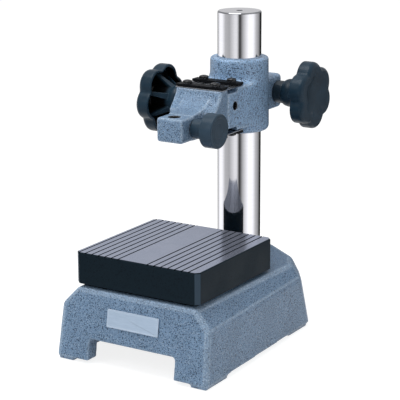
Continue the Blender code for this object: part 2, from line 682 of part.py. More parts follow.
def plate_screw_cutters(owner, row_y):
    """Cutters for one row's screw holes, from the top and from the bottom."""
    radius = PLATE_SCREW_RADIUS + GAP
    length = OVERRUN + PLATE_SCREW_LENGTH + GAP
    above = BOX_TOP + OVERRUN
    below = BOX_BOTTOM - OVERRUN
    cutters = []
    for side, x in (("left", -PLATE_SCREW_SPACING / 2), ("right", PLATE_SCREW_SPACING / 2)):
        for level, start, axis in (("top", above, "-Z"), ("bottom", below, "Z")):
            cutters.append(rod(f"{owner}_{level}_{side}_cutter", radius, (x, row_y, start), length,
                               axis, steps=SMALL_STEPS))
    return cutters


def holder_section(share):
    """The holder's plan outline, from its top at share 0 to the nose's top at share 1."""
    wing = HOLDER_FRONT - WING_REACH * share ** WING_POWER
    rise = max(share - BULGE_START_SHARE, 0) / (1 - BULGE_START_SHARE)
    bulge = (HOLDER_FRONT - WING_REACH - NOSE_ROOT) * (1 - math.sqrt(1 - rise * rise))
    fillet = min(NOSE_FILLET, bulge)
    lip = NOSE_EDGE * min(bulge / NOSE_FILLET, 1)
    right = [(NOSE_HALF - NOSE_EDGE, wing - bulge),
             (NOSE_HALF - NOSE_EDGE * EDGE_SHARE, wing - bulge + lip * EDGE_SHARE)]
    for degrees in (0, 30, 60, 90):
        angle = math.radians(degrees)
        right.append((NOSE_HALF + NOSE_FILLET * (1 - math.cos(angle)), wing - fillet * (1 - math.sin(angle))))
    right += [(BOX_HALF, wing + HOLDER_CORNER), (BOX_HALF, HOLDER_BACK)]
    left = [(-x, y) for x, y in reversed(right)]
    z = mix(BOX_TOP, NOSE_TOP, share)
    return [(x, y, z) for x, y in right + left]


def make_holder():
    """The stem holder: a block behind, a nose in front, and the fork for the eccentric."""
    sections = [holder_section(i / SWEEP_STEPS) for i in range(SWEEP_STEPS + 1)]
    foot = [(x, y, BOX_BOTTOM) for x, y, z in sections[-1]]
    holder = loft("stem_holder", sections + [foot], PAINT)
    round_edges(holder, HOLDER_CORNER / 2, 1, CORNER_ANGLE)
    nose = box("nose", (-NOSE_HALF, -NOSE_FRONT, BOX_BOTTOM), (NOSE_HALF, HOLDER_FRONT, NOSE_TOP),
               edge=NOSE_EDGE, segments=2)
    fork = box("fork", (-FORK_HALF_WIDTH, HOLDER_FRONT + HOLDER_DEPTH / 2, AXIS_Z - FORK_HALF_HEIGHT),
               (FORK_HALF_WIDTH, FINE_Y + FORK_BACK, AXIS_Z + FORK_HALF_HEIGHT))
    join(holder, nose, fork)
    slot_half = ECCENTRIC_RADIUS + FORK_CLEARANCE
    slot = box("fork_slot_cutter",
               (-FORK_HALF_WIDTH - OVERRUN, FINE_Y - ECCENTRIC_RADIUS - FORK_CLEARANCE, AXIS_Z - slot_half),
               (FORK_HALF_WIDTH + OVERRUN, FINE_Y + FORK_BACK + OVERRUN, AXIS_Z + slot_half))
    mouth = STEM_RADIUS + STEM_CHAMFER + OVERRUN
    ends = STEM_CHAMFER + OVERRUN
    length = NOSE_HEIGHT
    bore = [(0, length + OVERRUN), (mouth, length + OVERRUN), (STEM_RADIUS, length + OVERRUN - ends),
            (STEM_RADIUS, ends - OVERRUN), (mouth, -OVERRUN), (0, -OVERRUN)]
    stem = turned("stem_bore_cutter", bore, (0, 0, BOX_BOTTOM), steps=ROUND_STEPS)
    cross_start = -NOSE_HALF + COTTER_SKIN
    cross = rod("cotter_cutter", COTTER_RADIUS + GAP, (cross_start, COTTER_Y, COTTER_Z),
                NOSE_HALF - cross_start + OVERRUN, "X", steps=ROUND_STEPS)
    cut(holder, slot, stem, cross)
    cut(holder, *plate_screw_cutters("holder", FRONT_ROW_Y))
    hang(holder, HOLDER_SLIDE)


def lobe_scale(theta, radius):
    """How far a point of a turned knob is drawn in to leave round lobes and narrow valleys."""
    half = math.pi / LOBE_COUNT
    from_valley = half - abs((theta + half) % (2 * half) - half)
    turn = half - math.hypot(from_valley, VALLEY_BLEND)
    reach = KNOB_RADIUS - LOBE_RADIUS
    edge = reach * math.cos(turn) + math.sqrt(LOBE_RADIUS ** 2 - (reach * math.sin(turn)) ** 2)
    share = min(max((radius - HUB_RADIUS) / (KNOB_CREASE - HUB_RADIUS), 0), 1)
    return mix(1, edge / KNOB_RADIUS, share)


def knob_profile(bore):
    """Half the section of a lobed knob: dished face, hollow rim, barrel hub and bore."""
    length = KNOB_LENGTH
    rim = length - KNOB_RIM
    inner = KNOB_RADIUS - KNOB_WALL
    floor = length - KNOB_FACE
    outer = [(KNOB_CREASE * share, length - KNOB_DISH * (1 - share ** 2)) for share in KNOB_DISH_SHARES]
    outer.append((KNOB_CREASE, length))
    for degrees in (0, 30, 60, 90):
        angle = math.radians(degrees)
        outer.append((KNOB_RADIUS - KNOB_EDGE * (1 - math.sin(angle)),
                      length - KNOB_EDGE * (1 - math.cos(angle))))
    hollow = [(KNOB_RADIUS, rim + GAP), (KNOB_RADIUS - GAP, rim), (inner, rim),
              (inner, floor - KNOB_WALL / 2), (inner - KNOB_WALL, floor), (HUB_RADIUS, floor)]
    barrel = [(HUB_RADIUS, BARREL_LENGTH), (BARREL_RADIUS, BARREL_PLACE),
              (mix(BARREL_RADIUS, BARREL_END_RADIUS, BARREL_TURN_SHARE),
               BARREL_PLACE * BARREL_TURN_PLACE_SHARE),
              (BARREL_END_RADIUS, 0)]
    return outer + hollow + barrel + [(bore, 0), (bore, SHAFT_BITE), (0, SHAFT_BITE)]


def lobed_knob_mesh(name, bore, phase):
    """A lobed knob along its own +Z, with a rib from the hub to each valley of its rim."""
    shape = bmesh.new()
    points = [shape.verts.new((radius, 0, height)) for radius, height in knob_profile(bore)]
    edges = [shape.edges.new(pair) for pair in zip(points, points[1:])]
    bmesh.ops.spin(shape, geom=points + edges, cent=(0, 0, 0), axis=(0, 0, 1), angle=2 * math.pi,
                   steps=LOBE_COUNT * LOBE_STEPS, use_merge=True)
    bmesh.ops.remove_doubles(shape, verts=shape.verts, dist=MERGE)
    for vert in shape.verts:
        radius = math.hypot(vert.co.x, vert.co.y)
        scale = lobe_scale(math.atan2(vert.co.y, vert.co.x), radius)
        vert.co.x *= scale
        vert.co.y *= scale
    bmesh.ops.recalc_face_normals(shape, faces=shape.faces)
    bmesh.ops.rotate(shape, cent=(0, 0, 0), matrix=Matrix.Rotation(phase, 3, "Z"), verts=shape.verts)
    knob = place(name, finish_mesh(shape, name))

    ribs = bmesh.new()
    inner = (KNOB_RADIUS - KNOB_WALL / 2) * lobe_scale(math.pi / LOBE_COUNT, KNOB_RADIUS)
    floor = KNOB_LENGTH - KNOB_FACE / 2
    hub = HUB_RADIUS - RIB_THICKNESS / 2
    side = [(hub, floor), (inner, floor), (inner, floor - RIB_END_HEIGHT), (hub, RIB_START)]
    for index in range(LOBE_COUNT):
        corners = [ribs.verts.new((x, -RIB_THICKNESS / 2, z)) for x, z in side]
        face = ribs.faces.new(corners)
        wall = bmesh.ops.extrude_face_region(ribs, geom=[face])["geom"]
        moved = [v for v in wall if isinstance(v, bmesh.types.BMVert)]
        bmesh.ops.translate(ribs, vec=(0, RIB_THICKNESS, 0), verts=moved)
        angle = phase + (index + 0.5) * 2 * math.pi / LOBE_COUNT
        bmesh.ops.rotate(ribs, cent=(0, 0, 0), matrix=Matrix.Rotation(angle, 3, "Z"), verts=corners + moved)
    bmesh.ops.recalc_face_normals(ribs, faces=ribs.faces)
    rib_set = place(name + "_ribs", finish_mesh(ribs, name + "_ribs"))
    join(knob, rib_set)
    mesh = baked_mesh(knob, name)
    bpy.data.objects.remove(rib_set, do_unlink=True)
    return mesh


def make_column_clamp():
    """The clamp screw through the lugs, its thrust collar and its lobed knob."""
    spacer_start = LUG_HALF + GAP
    hole = CLAMP_SCREW_RADIUS + GAP
    ring = [(hole, SPACER_LENGTH), (SPACER_RADIUS, SPACER_LENGTH), (SPACER_RADIUS, 0), (hole, 0)]
    spacer = turned("clamp_thrust_collar", ring, (spacer_start, CLAMP_Y, AXIS_Z), "X", BLACK_OXIDE,
                    closed=True)
    knob_start = spacer_start + SPACER_LENGTH + GAP
    knob = place("clamp_knob", lobed_knob_mesh("clamp_knob", hole, CLAMP_LOBE_PHASE), PLASTIC,
                 (knob_start, CLAMP_Y, AXIS_Z), TURN_TO["X"])
    tip = CLAMP_SCREW_RADIUS * SHAFT_TIP_SHARE
    length = CLAMP_SCREW_END + knob_start + SHAFT_BITE - GAP
    profile = [(0, length), (CLAMP_SCREW_RADIUS, length), (CLAMP_SCREW_RADIUS, tip),
               (CLAMP_SCREW_RADIUS - tip, 0), (0, 0)]
    screw = turned("clamp_screw", profile, (-CLAMP_SCREW_END, CLAMP_Y, AXIS_Z), "X", BRIGHT_STEEL,
                   steps=SMALL_STEPS)
    for piece in (spacer, knob, screw):
        hang(piece, CLAMP_AXIS)


def make_fine_adjustment():
    """The eccentric shaft, its flanged bush, retaining ring, knob and grub screw."""
    sleeve = SHAFT_RADIUS + GAP + BUSH_WALL
    hole = SHAFT_RADIUS + GAP
    wall = BOX_HALF - POCKET_HALF
    flange = BUSH_FLANGE
    bush_profile = [(hole, flange), (SPACER_RADIUS, flange), (SPACER_RADIUS, 0), (sleeve, 0),
                    (sleeve, -wall), (hole, -wall)]
    bush = turned("fine_adjust_bush", bush_profile, (-BOX_HALF - GAP, FINE_Y, AXIS_Z), "-X", BRONZE,
                  closed=True)
    hang(bush, COLLAR_SLIDE)

    knob_start = BOX_HALF + GAP + flange + GAP
    knob = place("fine_adjust_knob", lobed_knob_mesh("fine_adjust_knob", hole, FINE_LOBE_PHASE), PLASTIC,
                 (-knob_start, FINE_Y, AXIS_Z), TURN_TO["-X"])
    grub_x = -knob_start - GRUB_PLACE
    grub_hole = rod("grub_cutter", GRUB_RADIUS + GAP, (grub_x, FINE_Y, AXIS_Z),
                    BARREL_RADIUS + OVERRUN, "-Z", steps=SMALL_STEPS)
    cut(knob, grub_hole)
    grub_top = AXIS_Z - SHAFT_RADIUS - GAP
    grub = rod("fine_knob_grub_screw", GRUB_RADIUS, (grub_x, FINE_Y, grub_top), GRUB_LENGTH, "-Z",
               BLACK_OXIDE, steps=SMALL_STEPS)
    socket = rod("grub_socket_cutter", GRUB_RADIUS * GRUB_SOCKET_SHARE,
                 (grub_x, FINE_Y, grub_top - GRUB_LENGTH / 2), GRUB_LENGTH, "-Z", steps=6)
    cut(grub, socket)

    start = -knob_start - SHAFT_BITE + GAP
    journal = -start - ECCENTRIC_HALF
    tail = BOX_HALF - SHAFT_TAIL_RECESS - start
    tip = SHAFT_TAIL_RADIUS * SHAFT_TIP_SHARE
    profile = [(0, tail), (SHAFT_TAIL_RADIUS - tip, tail), (SHAFT_TAIL_RADIUS, tail - tip),
               (SHAFT_TAIL_RADIUS, journal), (SHAFT_RADIUS, journal), (SHAFT_RADIUS, tip),
               (SHAFT_RADIUS - tip, 0), (0, 0)]
    shaft = turned("fine_adjust_shaft", profile, (start, FINE_Y, AXIS_Z), "X", BRIGHT_STEEL)
    eccentric = rod("eccentric", ECCENTRIC_RADIUS,
                    (-ECCENTRIC_HALF - tip, FINE_Y + ECCENTRIC_THROW, AXIS_Z),
                    2 * ECCENTRIC_HALF + tip, "X")
    join(shaft, eccentric)

    ring_outer = hole + RING_WIDTH
    ring_profile = [(hole, RING_THICKNESS), (ring_outer, RING_THICKNESS), (ring_outer, 0), (hole, 0)]
    ring_start = -POCKET_HALF + GAP
    ring = turned("shaft_retaining_ring", ring_profile, (ring_start, FINE_Y, AXIS_Z), "X", SPRING_STEEL,
                  closed=True, steps=ROUND_STEPS)
    opening = box("ring_opening_cutter", (ring_start - OVERRUN, FINE_Y - RING_OPENING / 2, AXIS_Z),
                  (ring_start + OVERRUN, FINE_Y + RING_OPENING / 2, AXIS_Z + ring_outer + OVERRUN))
    cut(ring, opening)
    for piece in (knob, grub, shaft, ring):
        hang(piece, FINE_AXIS)


def pan_screw_mesh():
    """A pan head screw along its own +Z, with a cross recess."""
    head = [(PAN_HEAD_RADIUS * math.sin(QUARTER * share),
             PAN_HEAD_HEIGHT * mix(PAN_HEAD_SIDE_SHARE, 1, math.cos(QUARTER * share)))
            for share in QUARTER_TURN_SHARES]
    tip = PLATE_SCREW_RADIUS * SCREW_TIP_SHARE
    length = CLAMP_PLATE_THICKNESS + LEAF_THICKNESS + 2 * GAP + PLATE_SCREW_LENGTH - GAP
    profile = head + [(PAN_HEAD_RADIUS, 0), (PLATE_SCREW_RADIUS, 0), (PLATE_SCREW_RADIUS, -length + tip),
                      (PLATE_SCREW_RADIUS - tip, -length), (0, -length)]
    screw = turned("plate_screw_pattern", profile, (0, 0, 0), steps=SCREW_STEPS)
    low = PAN_HEAD_HEIGHT - CROSS_DEPTH
    high = PAN_HEAD_HEIGHT + OVERRUN
    slots = []
    for tag, x, y in (("x", CROSS_LENGTH / 2, CROSS_WIDTH / 2), ("y", CROSS_WIDTH / 2, CROSS_LENGTH / 2)):
        slots.append(box(f"cross_{tag}_cutter", (-x, -y, low), (x, y, high)))
    cut(screw, *slots)
    mesh = baked_mesh(screw, "plate_screw")
    for slot in slots:
        bpy.data.objects.remove(slot, do_unlink=True)
    return mesh


def make_leaf_springs():
    """Both leaf springs, each held at its ends by a clamp plate with two screws."""
    screw_mesh = pan_screw_mesh()
    screw_mesh.materials.append(BLACK_OXIDE)
    turns = iter(SCREW_TURNS)
    front_edge = FRONT_ROW_Y - CLAMP_PLATE_WIDTH / 2
    back_edge = REAR_ROW_Y + CLAMP_PLATE_WIDTH / 2
    for level, sign, face in (("top", 1, BOX_TOP), ("bottom", -1, BOX_BOTTOM)):
        leaf_a = face + sign * GAP
        leaf_b = leaf_a + sign * LEAF_THICKNESS
        plate_a = leaf_b + sign * GAP
        plate_b = plate_a + sign * CLAMP_PLATE_THICKNESS
        leaf = box(f"{level}_leaf_spring", (-CLAMP_PLATE_HALF, front_edge, min(leaf_a, leaf_b)),
                   (CLAMP_PLATE_HALF, back_edge, max(leaf_a, leaf_b)), SPRING_STEEL)
        hang(leaf, COLLAR_SLIDE)
        rows = (("front", FRONT_ROW_Y, HOLDER_SLIDE), ("rear", REAR_ROW_Y, COLLAR_SLIDE))
        for row, row_y, carrier in rows:
            half = CLAMP_PLATE_WIDTH / 2
            plate = box(f"{level}_{row}_plate", (-CLAMP_PLATE_HALF, row_y - half, min(plate_a, plate_b)),
                        (CLAMP_PLATE_HALF, row_y + half, max(plate_a, plate_b)), BLACK_OXIDE)
            hang(plate, carrier)
            for side, x in (("left", -PLATE_SCREW_SPACING / 2), ("right", PLATE_SCREW_SPACING / 2)):
                low_z = min(leaf_a, plate_b) - OVERRUN
                hole = rod(f"{level}_{row}_{side}_hole_cutter", PLATE_SCREW_RADIUS + GAP,
                           (x, row_y, low_z), abs(plate_b - leaf_a) + 2 * OVERRUN, steps=SMALL_STEPS)
                cut(leaf, hole)
                cut(plate, hole)
                tilt = 0 if sign > 0 else math.pi
                turn = math.radians(next(turns))
                screw = place(f"plate_screw_{level}_{row}_{side}", screw_mesh, BLACK_OXIDE,
                              (x, row_y, plate_b + sign * GAP), (tilt, 0, turn))
                hang(screw, carrier)


def make_stem_clamp():
    """The two cotters that grip the stem, and the small knob that draws them together."""
    start = -NOSE_HALF + COTTER_SKIN + COTTER_TRAVEL + GAP
    stem_room = STEM_RADIUS + GAP
    knob_start = NOSE_HALF + GAP
    stud_end = knob_start + STUD_BITE
    left_length = -COTTER_HALF_GAP - start
    profile = [(0, stud_end - start), (STUD_RADIUS, stud_end - start), (STUD_RADIUS, left_length),
               (COTTER_RADIUS, left_length), (COTTER_RADIUS, 0), (0, 0)]
    left = turned("stem_cotter_stud", profile, (start, COTTER_Y, COTTER_Z), "X", BRIGHT_STEEL)
    hole = STUD_RADIUS + GAP
    right_length = NOSE_HALF - GAP - COTTER_HALF_GAP
    tube = [(hole, right_length), (COTTER_RADIUS, right_length), (COTTER_RADIUS, 0), (hole, 0)]
    right = turned("stem_cotter_sleeve", tube, (COTTER_HALF_GAP, COTTER_Y, COTTER_Z), "X",
                   BRIGHT_STEEL, closed=True)
    for piece in (left, right):
        cut(piece, rod(piece.name + "_scallop_cutter", stem_room, (0, 0, BOX_BOTTOM - OVERRUN),
                       NOSE_HEIGHT + 2 * OVERRUN))
        hang(piece, HOLDER_SLIDE)

    hub = STEM_HUB_LENGTH
    length = hub + STEM_KNOB_LENGTH
    edge = STEM_KNOB_EDGE
    rim = STEM_KNOB_RADIUS - 2 * edge
    profile = [(0, length - STEM_KNOB_DISH), (rim - edge, length - STEM_KNOB_DISH), (rim, length),
               (STEM_KNOB_RADIUS - edge, length), (STEM_KNOB_RADIUS, length - edge),
               (STEM_KNOB_RADIUS, hub + edge), (STEM_KNOB_RADIUS - edge, hub), (STEM_HUB_RADIUS, hub),
               (STEM_HUB_RADIUS, edge / 2), (STEM_HUB_RADIUS - edge / 2, 0), (hole, 0),
               (hole, STUD_BITE + GAP), (0, STUD_BITE + GAP)]
    knob = turned("stem_clamp_knob", profile, (knob_start, COTTER_Y, COTTER_Z), "X", PLASTIC)
    hang(knob, STEM_CLAMP_AXIS)


make_base_casting()
make_anvil()
make_base_fasteners()
make_name_plate()
make_column()
make_collar()
make_holder()
make_column_clamp()
make_fine_adjustment()
make_leaf_springs()
make_stem_clamp()
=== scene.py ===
# %% [markdown]
# # A comparator stand, dressed for its picture
#
# The stand carries a dial gauge over a flat lapped anvil. A heavy casting holds the anvil and a
# chromed column, and an arm slides on the column. This lesson takes the stand's plain solids and
# gives each one the finish that the real thing has: hammered paint, chrome, lapped metal, plastic.
#
# The solids come in as a frame that never moves. A new piece either keeps the frame's own mesh
# and gets a better material, or stands in the same place with finer edges.

# %% Load the stand
import json
import math

import bmesh
import bpy
from mathutils import Matrix, Vector
from mathutils.kdtree import KDTree
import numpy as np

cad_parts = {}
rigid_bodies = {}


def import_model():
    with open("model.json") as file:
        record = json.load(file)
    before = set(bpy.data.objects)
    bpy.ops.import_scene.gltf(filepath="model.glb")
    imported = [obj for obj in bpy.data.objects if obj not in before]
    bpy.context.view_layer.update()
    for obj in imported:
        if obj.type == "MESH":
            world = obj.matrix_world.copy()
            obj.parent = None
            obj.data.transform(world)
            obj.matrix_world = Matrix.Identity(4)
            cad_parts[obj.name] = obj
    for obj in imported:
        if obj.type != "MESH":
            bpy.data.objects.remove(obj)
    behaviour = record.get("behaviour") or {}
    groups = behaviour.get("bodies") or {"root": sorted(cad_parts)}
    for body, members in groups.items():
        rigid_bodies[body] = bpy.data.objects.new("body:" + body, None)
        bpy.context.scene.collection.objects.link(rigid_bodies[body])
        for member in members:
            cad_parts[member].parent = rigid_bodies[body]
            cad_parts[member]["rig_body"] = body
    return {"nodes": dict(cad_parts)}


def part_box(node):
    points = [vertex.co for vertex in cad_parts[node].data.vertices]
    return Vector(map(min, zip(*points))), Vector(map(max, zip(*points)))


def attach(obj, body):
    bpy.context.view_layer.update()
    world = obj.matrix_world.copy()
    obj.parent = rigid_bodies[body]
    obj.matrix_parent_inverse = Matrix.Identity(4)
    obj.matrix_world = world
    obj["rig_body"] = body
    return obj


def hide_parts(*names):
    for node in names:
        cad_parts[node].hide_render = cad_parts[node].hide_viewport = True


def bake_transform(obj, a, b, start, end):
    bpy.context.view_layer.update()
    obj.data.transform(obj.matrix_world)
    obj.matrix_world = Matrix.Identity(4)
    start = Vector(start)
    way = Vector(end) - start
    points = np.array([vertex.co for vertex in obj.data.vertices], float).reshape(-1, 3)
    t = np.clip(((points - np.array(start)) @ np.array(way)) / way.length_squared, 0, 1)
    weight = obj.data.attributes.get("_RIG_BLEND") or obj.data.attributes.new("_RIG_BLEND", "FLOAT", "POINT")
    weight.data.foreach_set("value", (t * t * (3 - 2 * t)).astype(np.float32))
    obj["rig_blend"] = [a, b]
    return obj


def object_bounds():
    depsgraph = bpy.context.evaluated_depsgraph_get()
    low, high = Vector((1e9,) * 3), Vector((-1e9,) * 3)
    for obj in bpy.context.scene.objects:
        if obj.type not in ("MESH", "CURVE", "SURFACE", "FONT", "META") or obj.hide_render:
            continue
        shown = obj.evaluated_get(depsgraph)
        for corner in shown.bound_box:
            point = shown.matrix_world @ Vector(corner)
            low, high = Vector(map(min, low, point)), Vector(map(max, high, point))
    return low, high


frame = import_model()
NODES = frame["nodes"]
CAD_LOW, CAD_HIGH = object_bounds()
MM = 0.001
print("box in mm:", [round(v / MM, 1) for v in CAD_HIGH - CAD_LOW])

# %% [markdown]
# ## The camera
#
# A long lens from over a metre away gives the flat, calm perspective of a catalogue picture. Three
# numbers say where the camera looks from: how far round, how far above, and a very small lean.
# The matrix is built from three arrows, to the camera's right, up and back, and its place.

# %% Place the camera
CAMERA_PLACE = Vector((0.6024, -0.9337, 0.3292))
CAMERA_TURN = math.radians(31.84)
CAMERA_PITCH = math.radians(14.82)
CAMERA_LEAN = math.radians(-0.21)
LENS_LENGTH = 135.5
SENSOR_WIDTH = 36

level = math.cos(CAMERA_PITCH)
back = Vector((math.sin(CAMERA_TURN) * level, -math.cos(CAMERA_TURN) * level, math.sin(CAMERA_PITCH)))
sideways = Vector((math.cos(CAMERA_TURN), math.sin(CAMERA_TURN), 0))
upwards = back.cross(sideways)
right = math.cos(CAMERA_LEAN) * sideways + math.sin(CAMERA_LEAN) * upwards
up = math.cos(CAMERA_LEAN) * upwards - math.sin(CAMERA_LEAN) * sideways

lens = bpy.data.cameras.new("camera")
lens.lens = LENS_LENGTH
lens.sensor_width = SENSOR_WIDTH
lens.clip_start = 0.01
camera = bpy.data.objects.new("camera", lens)
camera.matrix_world = Matrix((right, up, back)).transposed().to_4x4()
camera.location = CAMERA_PLACE
bpy.context.scene.collection.objects.link(camera)
bpy.context.scene.camera = camera
bpy.context.scene.view_settings.view_transform = "Standard"
print("camera at", [round(v, 3) for v in camera.location])

# %% [markdown]
# ## Short names for node trees
#
# A material is a small graph of nodes, and a few helpers keep the cells below short. They add a
# node with its sockets set by name, feed a socket a value or another node's output, do sums,
# rescale a number, mix two colours, and turn a picture's colour into the linear one.

# %% Helpers for node trees
def add(tree, kind, settings=None, **sockets):
    """A new node of a tree, with its settings and its sockets' values or the outputs they take."""
    made = tree.nodes.new(kind)
    for name, value in (settings or {}).items():
        setattr(made, name, value)
    for name, value in sockets.items():
        label = name.replace("_", " ")
        feed(tree, made.inputs[label if label in made.inputs else name], value)
    return made


def feed(tree, socket, value):
    """Gives a socket a plain value, or joins it to another node's output."""
    if isinstance(value, bpy.types.NodeSocket):
        tree.links.new(value, socket)
    else:
        socket.default_value = value


def sums(tree, operation, *values):
    """A Math node on up to three numbers or outputs."""
    made = add(tree, "ShaderNodeMath", {"operation": operation})
    for socket, value in zip(made.inputs, values):
        feed(tree, socket, value)
    return made.outputs[0]


def between(tree, value, low, high, to_low=0.0, to_high=1.0):
    """Rescales a number from one range to another, and holds it inside that range."""
    made = add(tree, "ShaderNodeMapRange", {"interpolation_type": "SMOOTHSTEP"})
    for socket, entry in zip(made.inputs, (value, low, high, to_low, to_high)):
        feed(tree, socket, entry)
    return made.outputs[0]


def blend_colours(tree, share, first, second):
    """Goes from the first colour to the second as the share goes from 0 to 1."""
    made = add(tree, "ShaderNodeMix", {"data_type": "RGBA"})
    feed(tree, made.inputs[0], share)
    for socket, value in zip(made.inputs[6:8], (first, second)):
        feed(tree, socket, value if isinstance(value, bpy.types.NodeSocket) else (*value, 1))
    return made.outputs[2]


def shown(red, green, blue):
    """The linear colour of three numbers from 0 to 255, as a picture shows them."""
    shares = (red / 255, green / 255, blue / 255)
    return tuple(v / 12.92 if v <= 0.04045 else ((v + 0.055) / 1.055) ** 2.4 for v in shares)


print("mid grey is", [round(v, 3) for v in shown(128, 128, 128)])

# %% [markdown]
# ## The studio
#
# The picture has no horizon: the stand is on a white sheet. The floor is a white diffuse sheet,
# and the camera and mirrors see it as mostly glow and only a faint diffuse share, so that it
# looks white and still keeps some of the stand's shadow. The world is white to the camera and
# mirrors, and soft light to everything else.

# %% Floor and world
FLOOR_REACH = 3.0
FLOOR_GLOW = 0.84
FLOOR_FAINT = 0.34
FLOOR_WHITE = 0.8
WORLD_LIGHT = 0.5


def seen_directly(tree):
    """1 for rays from the camera, and for what a mirror or glass shows, and 0 for light."""
    path = add(tree, "ShaderNodeLightPath")
    direct = sums(tree, "MAXIMUM", path.outputs["Is Camera Ray"], path.outputs["Is Glossy Ray"])
    return sums(tree, "MAXIMUM", direct, path.outputs["Is Transmission Ray"])


def cleared_tree(owner):
    """Turns on the nodes of a material or a world, and empties them."""
    owner.use_nodes = True
    owner.node_tree.nodes.clear()
    return owner.node_tree


def end_in_two(tree, end, lighting, direct):
    """Ends a tree in one shader for the light that it gives, and in another for what is seen directly."""
    choice = add(tree, "ShaderNodeMixShader", Fac=seen_directly(tree))
    out = add(tree, end)
    tree.links.new(lighting.outputs[0], choice.inputs[1])
    tree.links.new(direct.outputs[0], choice.inputs[2])
    tree.links.new(choice.outputs[0], out.inputs["Surface"])


def put_in_studio(name, shape, finish):
    """Writes a bmesh to a thing of the studio, which isn't part of the stand."""
    mesh = bpy.data.meshes.new(name)
    shape.to_mesh(mesh)
    shape.free()
    mesh.materials.append(finish)
    thing = bpy.data.objects.new(name, mesh)
    bpy.context.scene.collection.objects.link(thing)
    return thing


def make_floor():
    """The white sheet that the stand is on."""
    white = bpy.data.materials.new("white_sheet")
    tree = cleared_tree(white)
    lit, faint = [add(tree, "ShaderNodeBsdfDiffuse", Color=(v, v, v, 1)) for v in (FLOOR_WHITE, FLOOR_FAINT)]
    glow = add(tree, "ShaderNodeEmission", Strength=FLOOR_GLOW)
    both = add(tree, "ShaderNodeAddShader")
    tree.links.new(faint.outputs[0], both.inputs[0])
    tree.links.new(glow.outputs[0], both.inputs[1])
    end_in_two(tree, "ShaderNodeOutputMaterial", lit, both)
    sheet = bmesh.new()
    bmesh.ops.create_grid(sheet, x_segments=1, y_segments=1, size=FLOOR_REACH)
    bmesh.ops.translate(sheet, verts=sheet.verts, vec=(0, 0, CAD_LOW.z))
    put_in_studio("studio_floor", sheet, white)


def make_world():
    """Soft light from all sides, which the camera and mirrors see as plain white."""
    world = bpy.data.worlds.new("studio_world")
    tree = cleared_tree(world)
    light, white = [add(tree, "ShaderNodeBackground", Color=(1, 1, 1, 1), Strength=v) for v in (WORLD_LIGHT, 1.0)]
    end_in_two(tree, "ShaderNodeOutputWorld", light, white)
    bpy.context.scene.world = world


make_floor()
make_world()
print("floor at", round(CAD_LOW.z / MM, 1), "mm")

# %% [markdown]
# ## Soft lamps
#
# Three large area lamps stand in for a photographer's soft boxes: the strongest above and in
# front, a weaker one at the left, and a very weak one at the right, where the picture is darker.
# A lamp is aimed by turning its own -Z at what it lights. They are large, so that shadows and
# highlights have soft edges.

# %% Hang the lamps
def hang_lamp(name, place, target, width, height, power):
    """A rectangular soft box that faces a point."""
    light = bpy.data.lights.new(name, "AREA")
    light.shape = "RECTANGLE"
    light.size = width
    light.size_y = height
    light.energy = power
    lamp = bpy.data.objects.new(name, light)
    lamp.location = place
    lamp.rotation_mode = "QUATERNION"
    lamp.rotation_quaternion = (Vector(target) - Vector(place)).to_track_quat("-Z", "Y")
    bpy.context.scene.collection.objects.link(lamp)


hang_lamp("soft_box_above", (-0.10, -0.20, 1.0), (0, 0.03, 0), 0.8, 0.6, 6.5)
hang_lamp("soft_box_right", (0.95, -0.1, 0.55), (0, 0.05, 0.02), 0.5, 0.6, 0.4)
hang_lamp("soft_box_left", (-0.60, -0.90, 0.80), (0, 0.03, 0.02), 0.5, 0.6, 3.1)

# %% [markdown]
# ## Something for the chrome to mirror
#
# Chrome has hardly a colour of its own: what makes it look like chrome is dark and light things
# around it. Photographers stand grey and black cards round a chromed part, out of the picture.
# A low bowl of cards round the column does that here, and a taller grey wall stands behind it for
# the anvil's top to mirror. Only mirror rays meet them, so that they throw no shadow and never
# show. A ramp round each circle says how light each stretch is. The shades were tried out until
# the column's bands looked like the picture's, so they follow the picture and no known studio.

# %% Stand the cards round the column
CARD_FOOT_RADIUS = 0.24
CARD_TOP_RADIUS = 0.55
CARD_HEIGHT = 0.195
WALL_HEIGHT = 0.60
CARD_SEGMENTS = 96
CARD_TINT = 1.03
CARD_SHADES = (
    (-180, 0.05), (-158, 0.10), (-144, 0.80), (-120, 1.30), (-102, 1.25), (-80, 0.60), (-54, 0.50), (-24, 1.0),
    (-14, 0.95), (-2, 0.05), (4, 0.08), (17, 0.55), (36, 1.05), (48, 1.35), (74, 1.30), (94, 0.65), (118, 0.35),
    (128, 0.15), (135, 0.02), (180, 0.02),
)
WALL_SHADES = (
    (-180, 0.62), (-150, 0.70), (-120, 0.80), (-96, 0.25), (30, 0.25), (46, 0.70), (100, 0.90), (150, 0.66),
    (180, 0.62),
)


def middle_of(node):
    """The middle of a CAD node's box."""
    low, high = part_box(node)
    return (low + high) / 2


COLUMN_LOW, COLUMN_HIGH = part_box("column")
COLUMN_MIDDLE = middle_of("column")
COLUMN_RADIUS = (COLUMN_HIGH.x - COLUMN_LOW.x) / 2


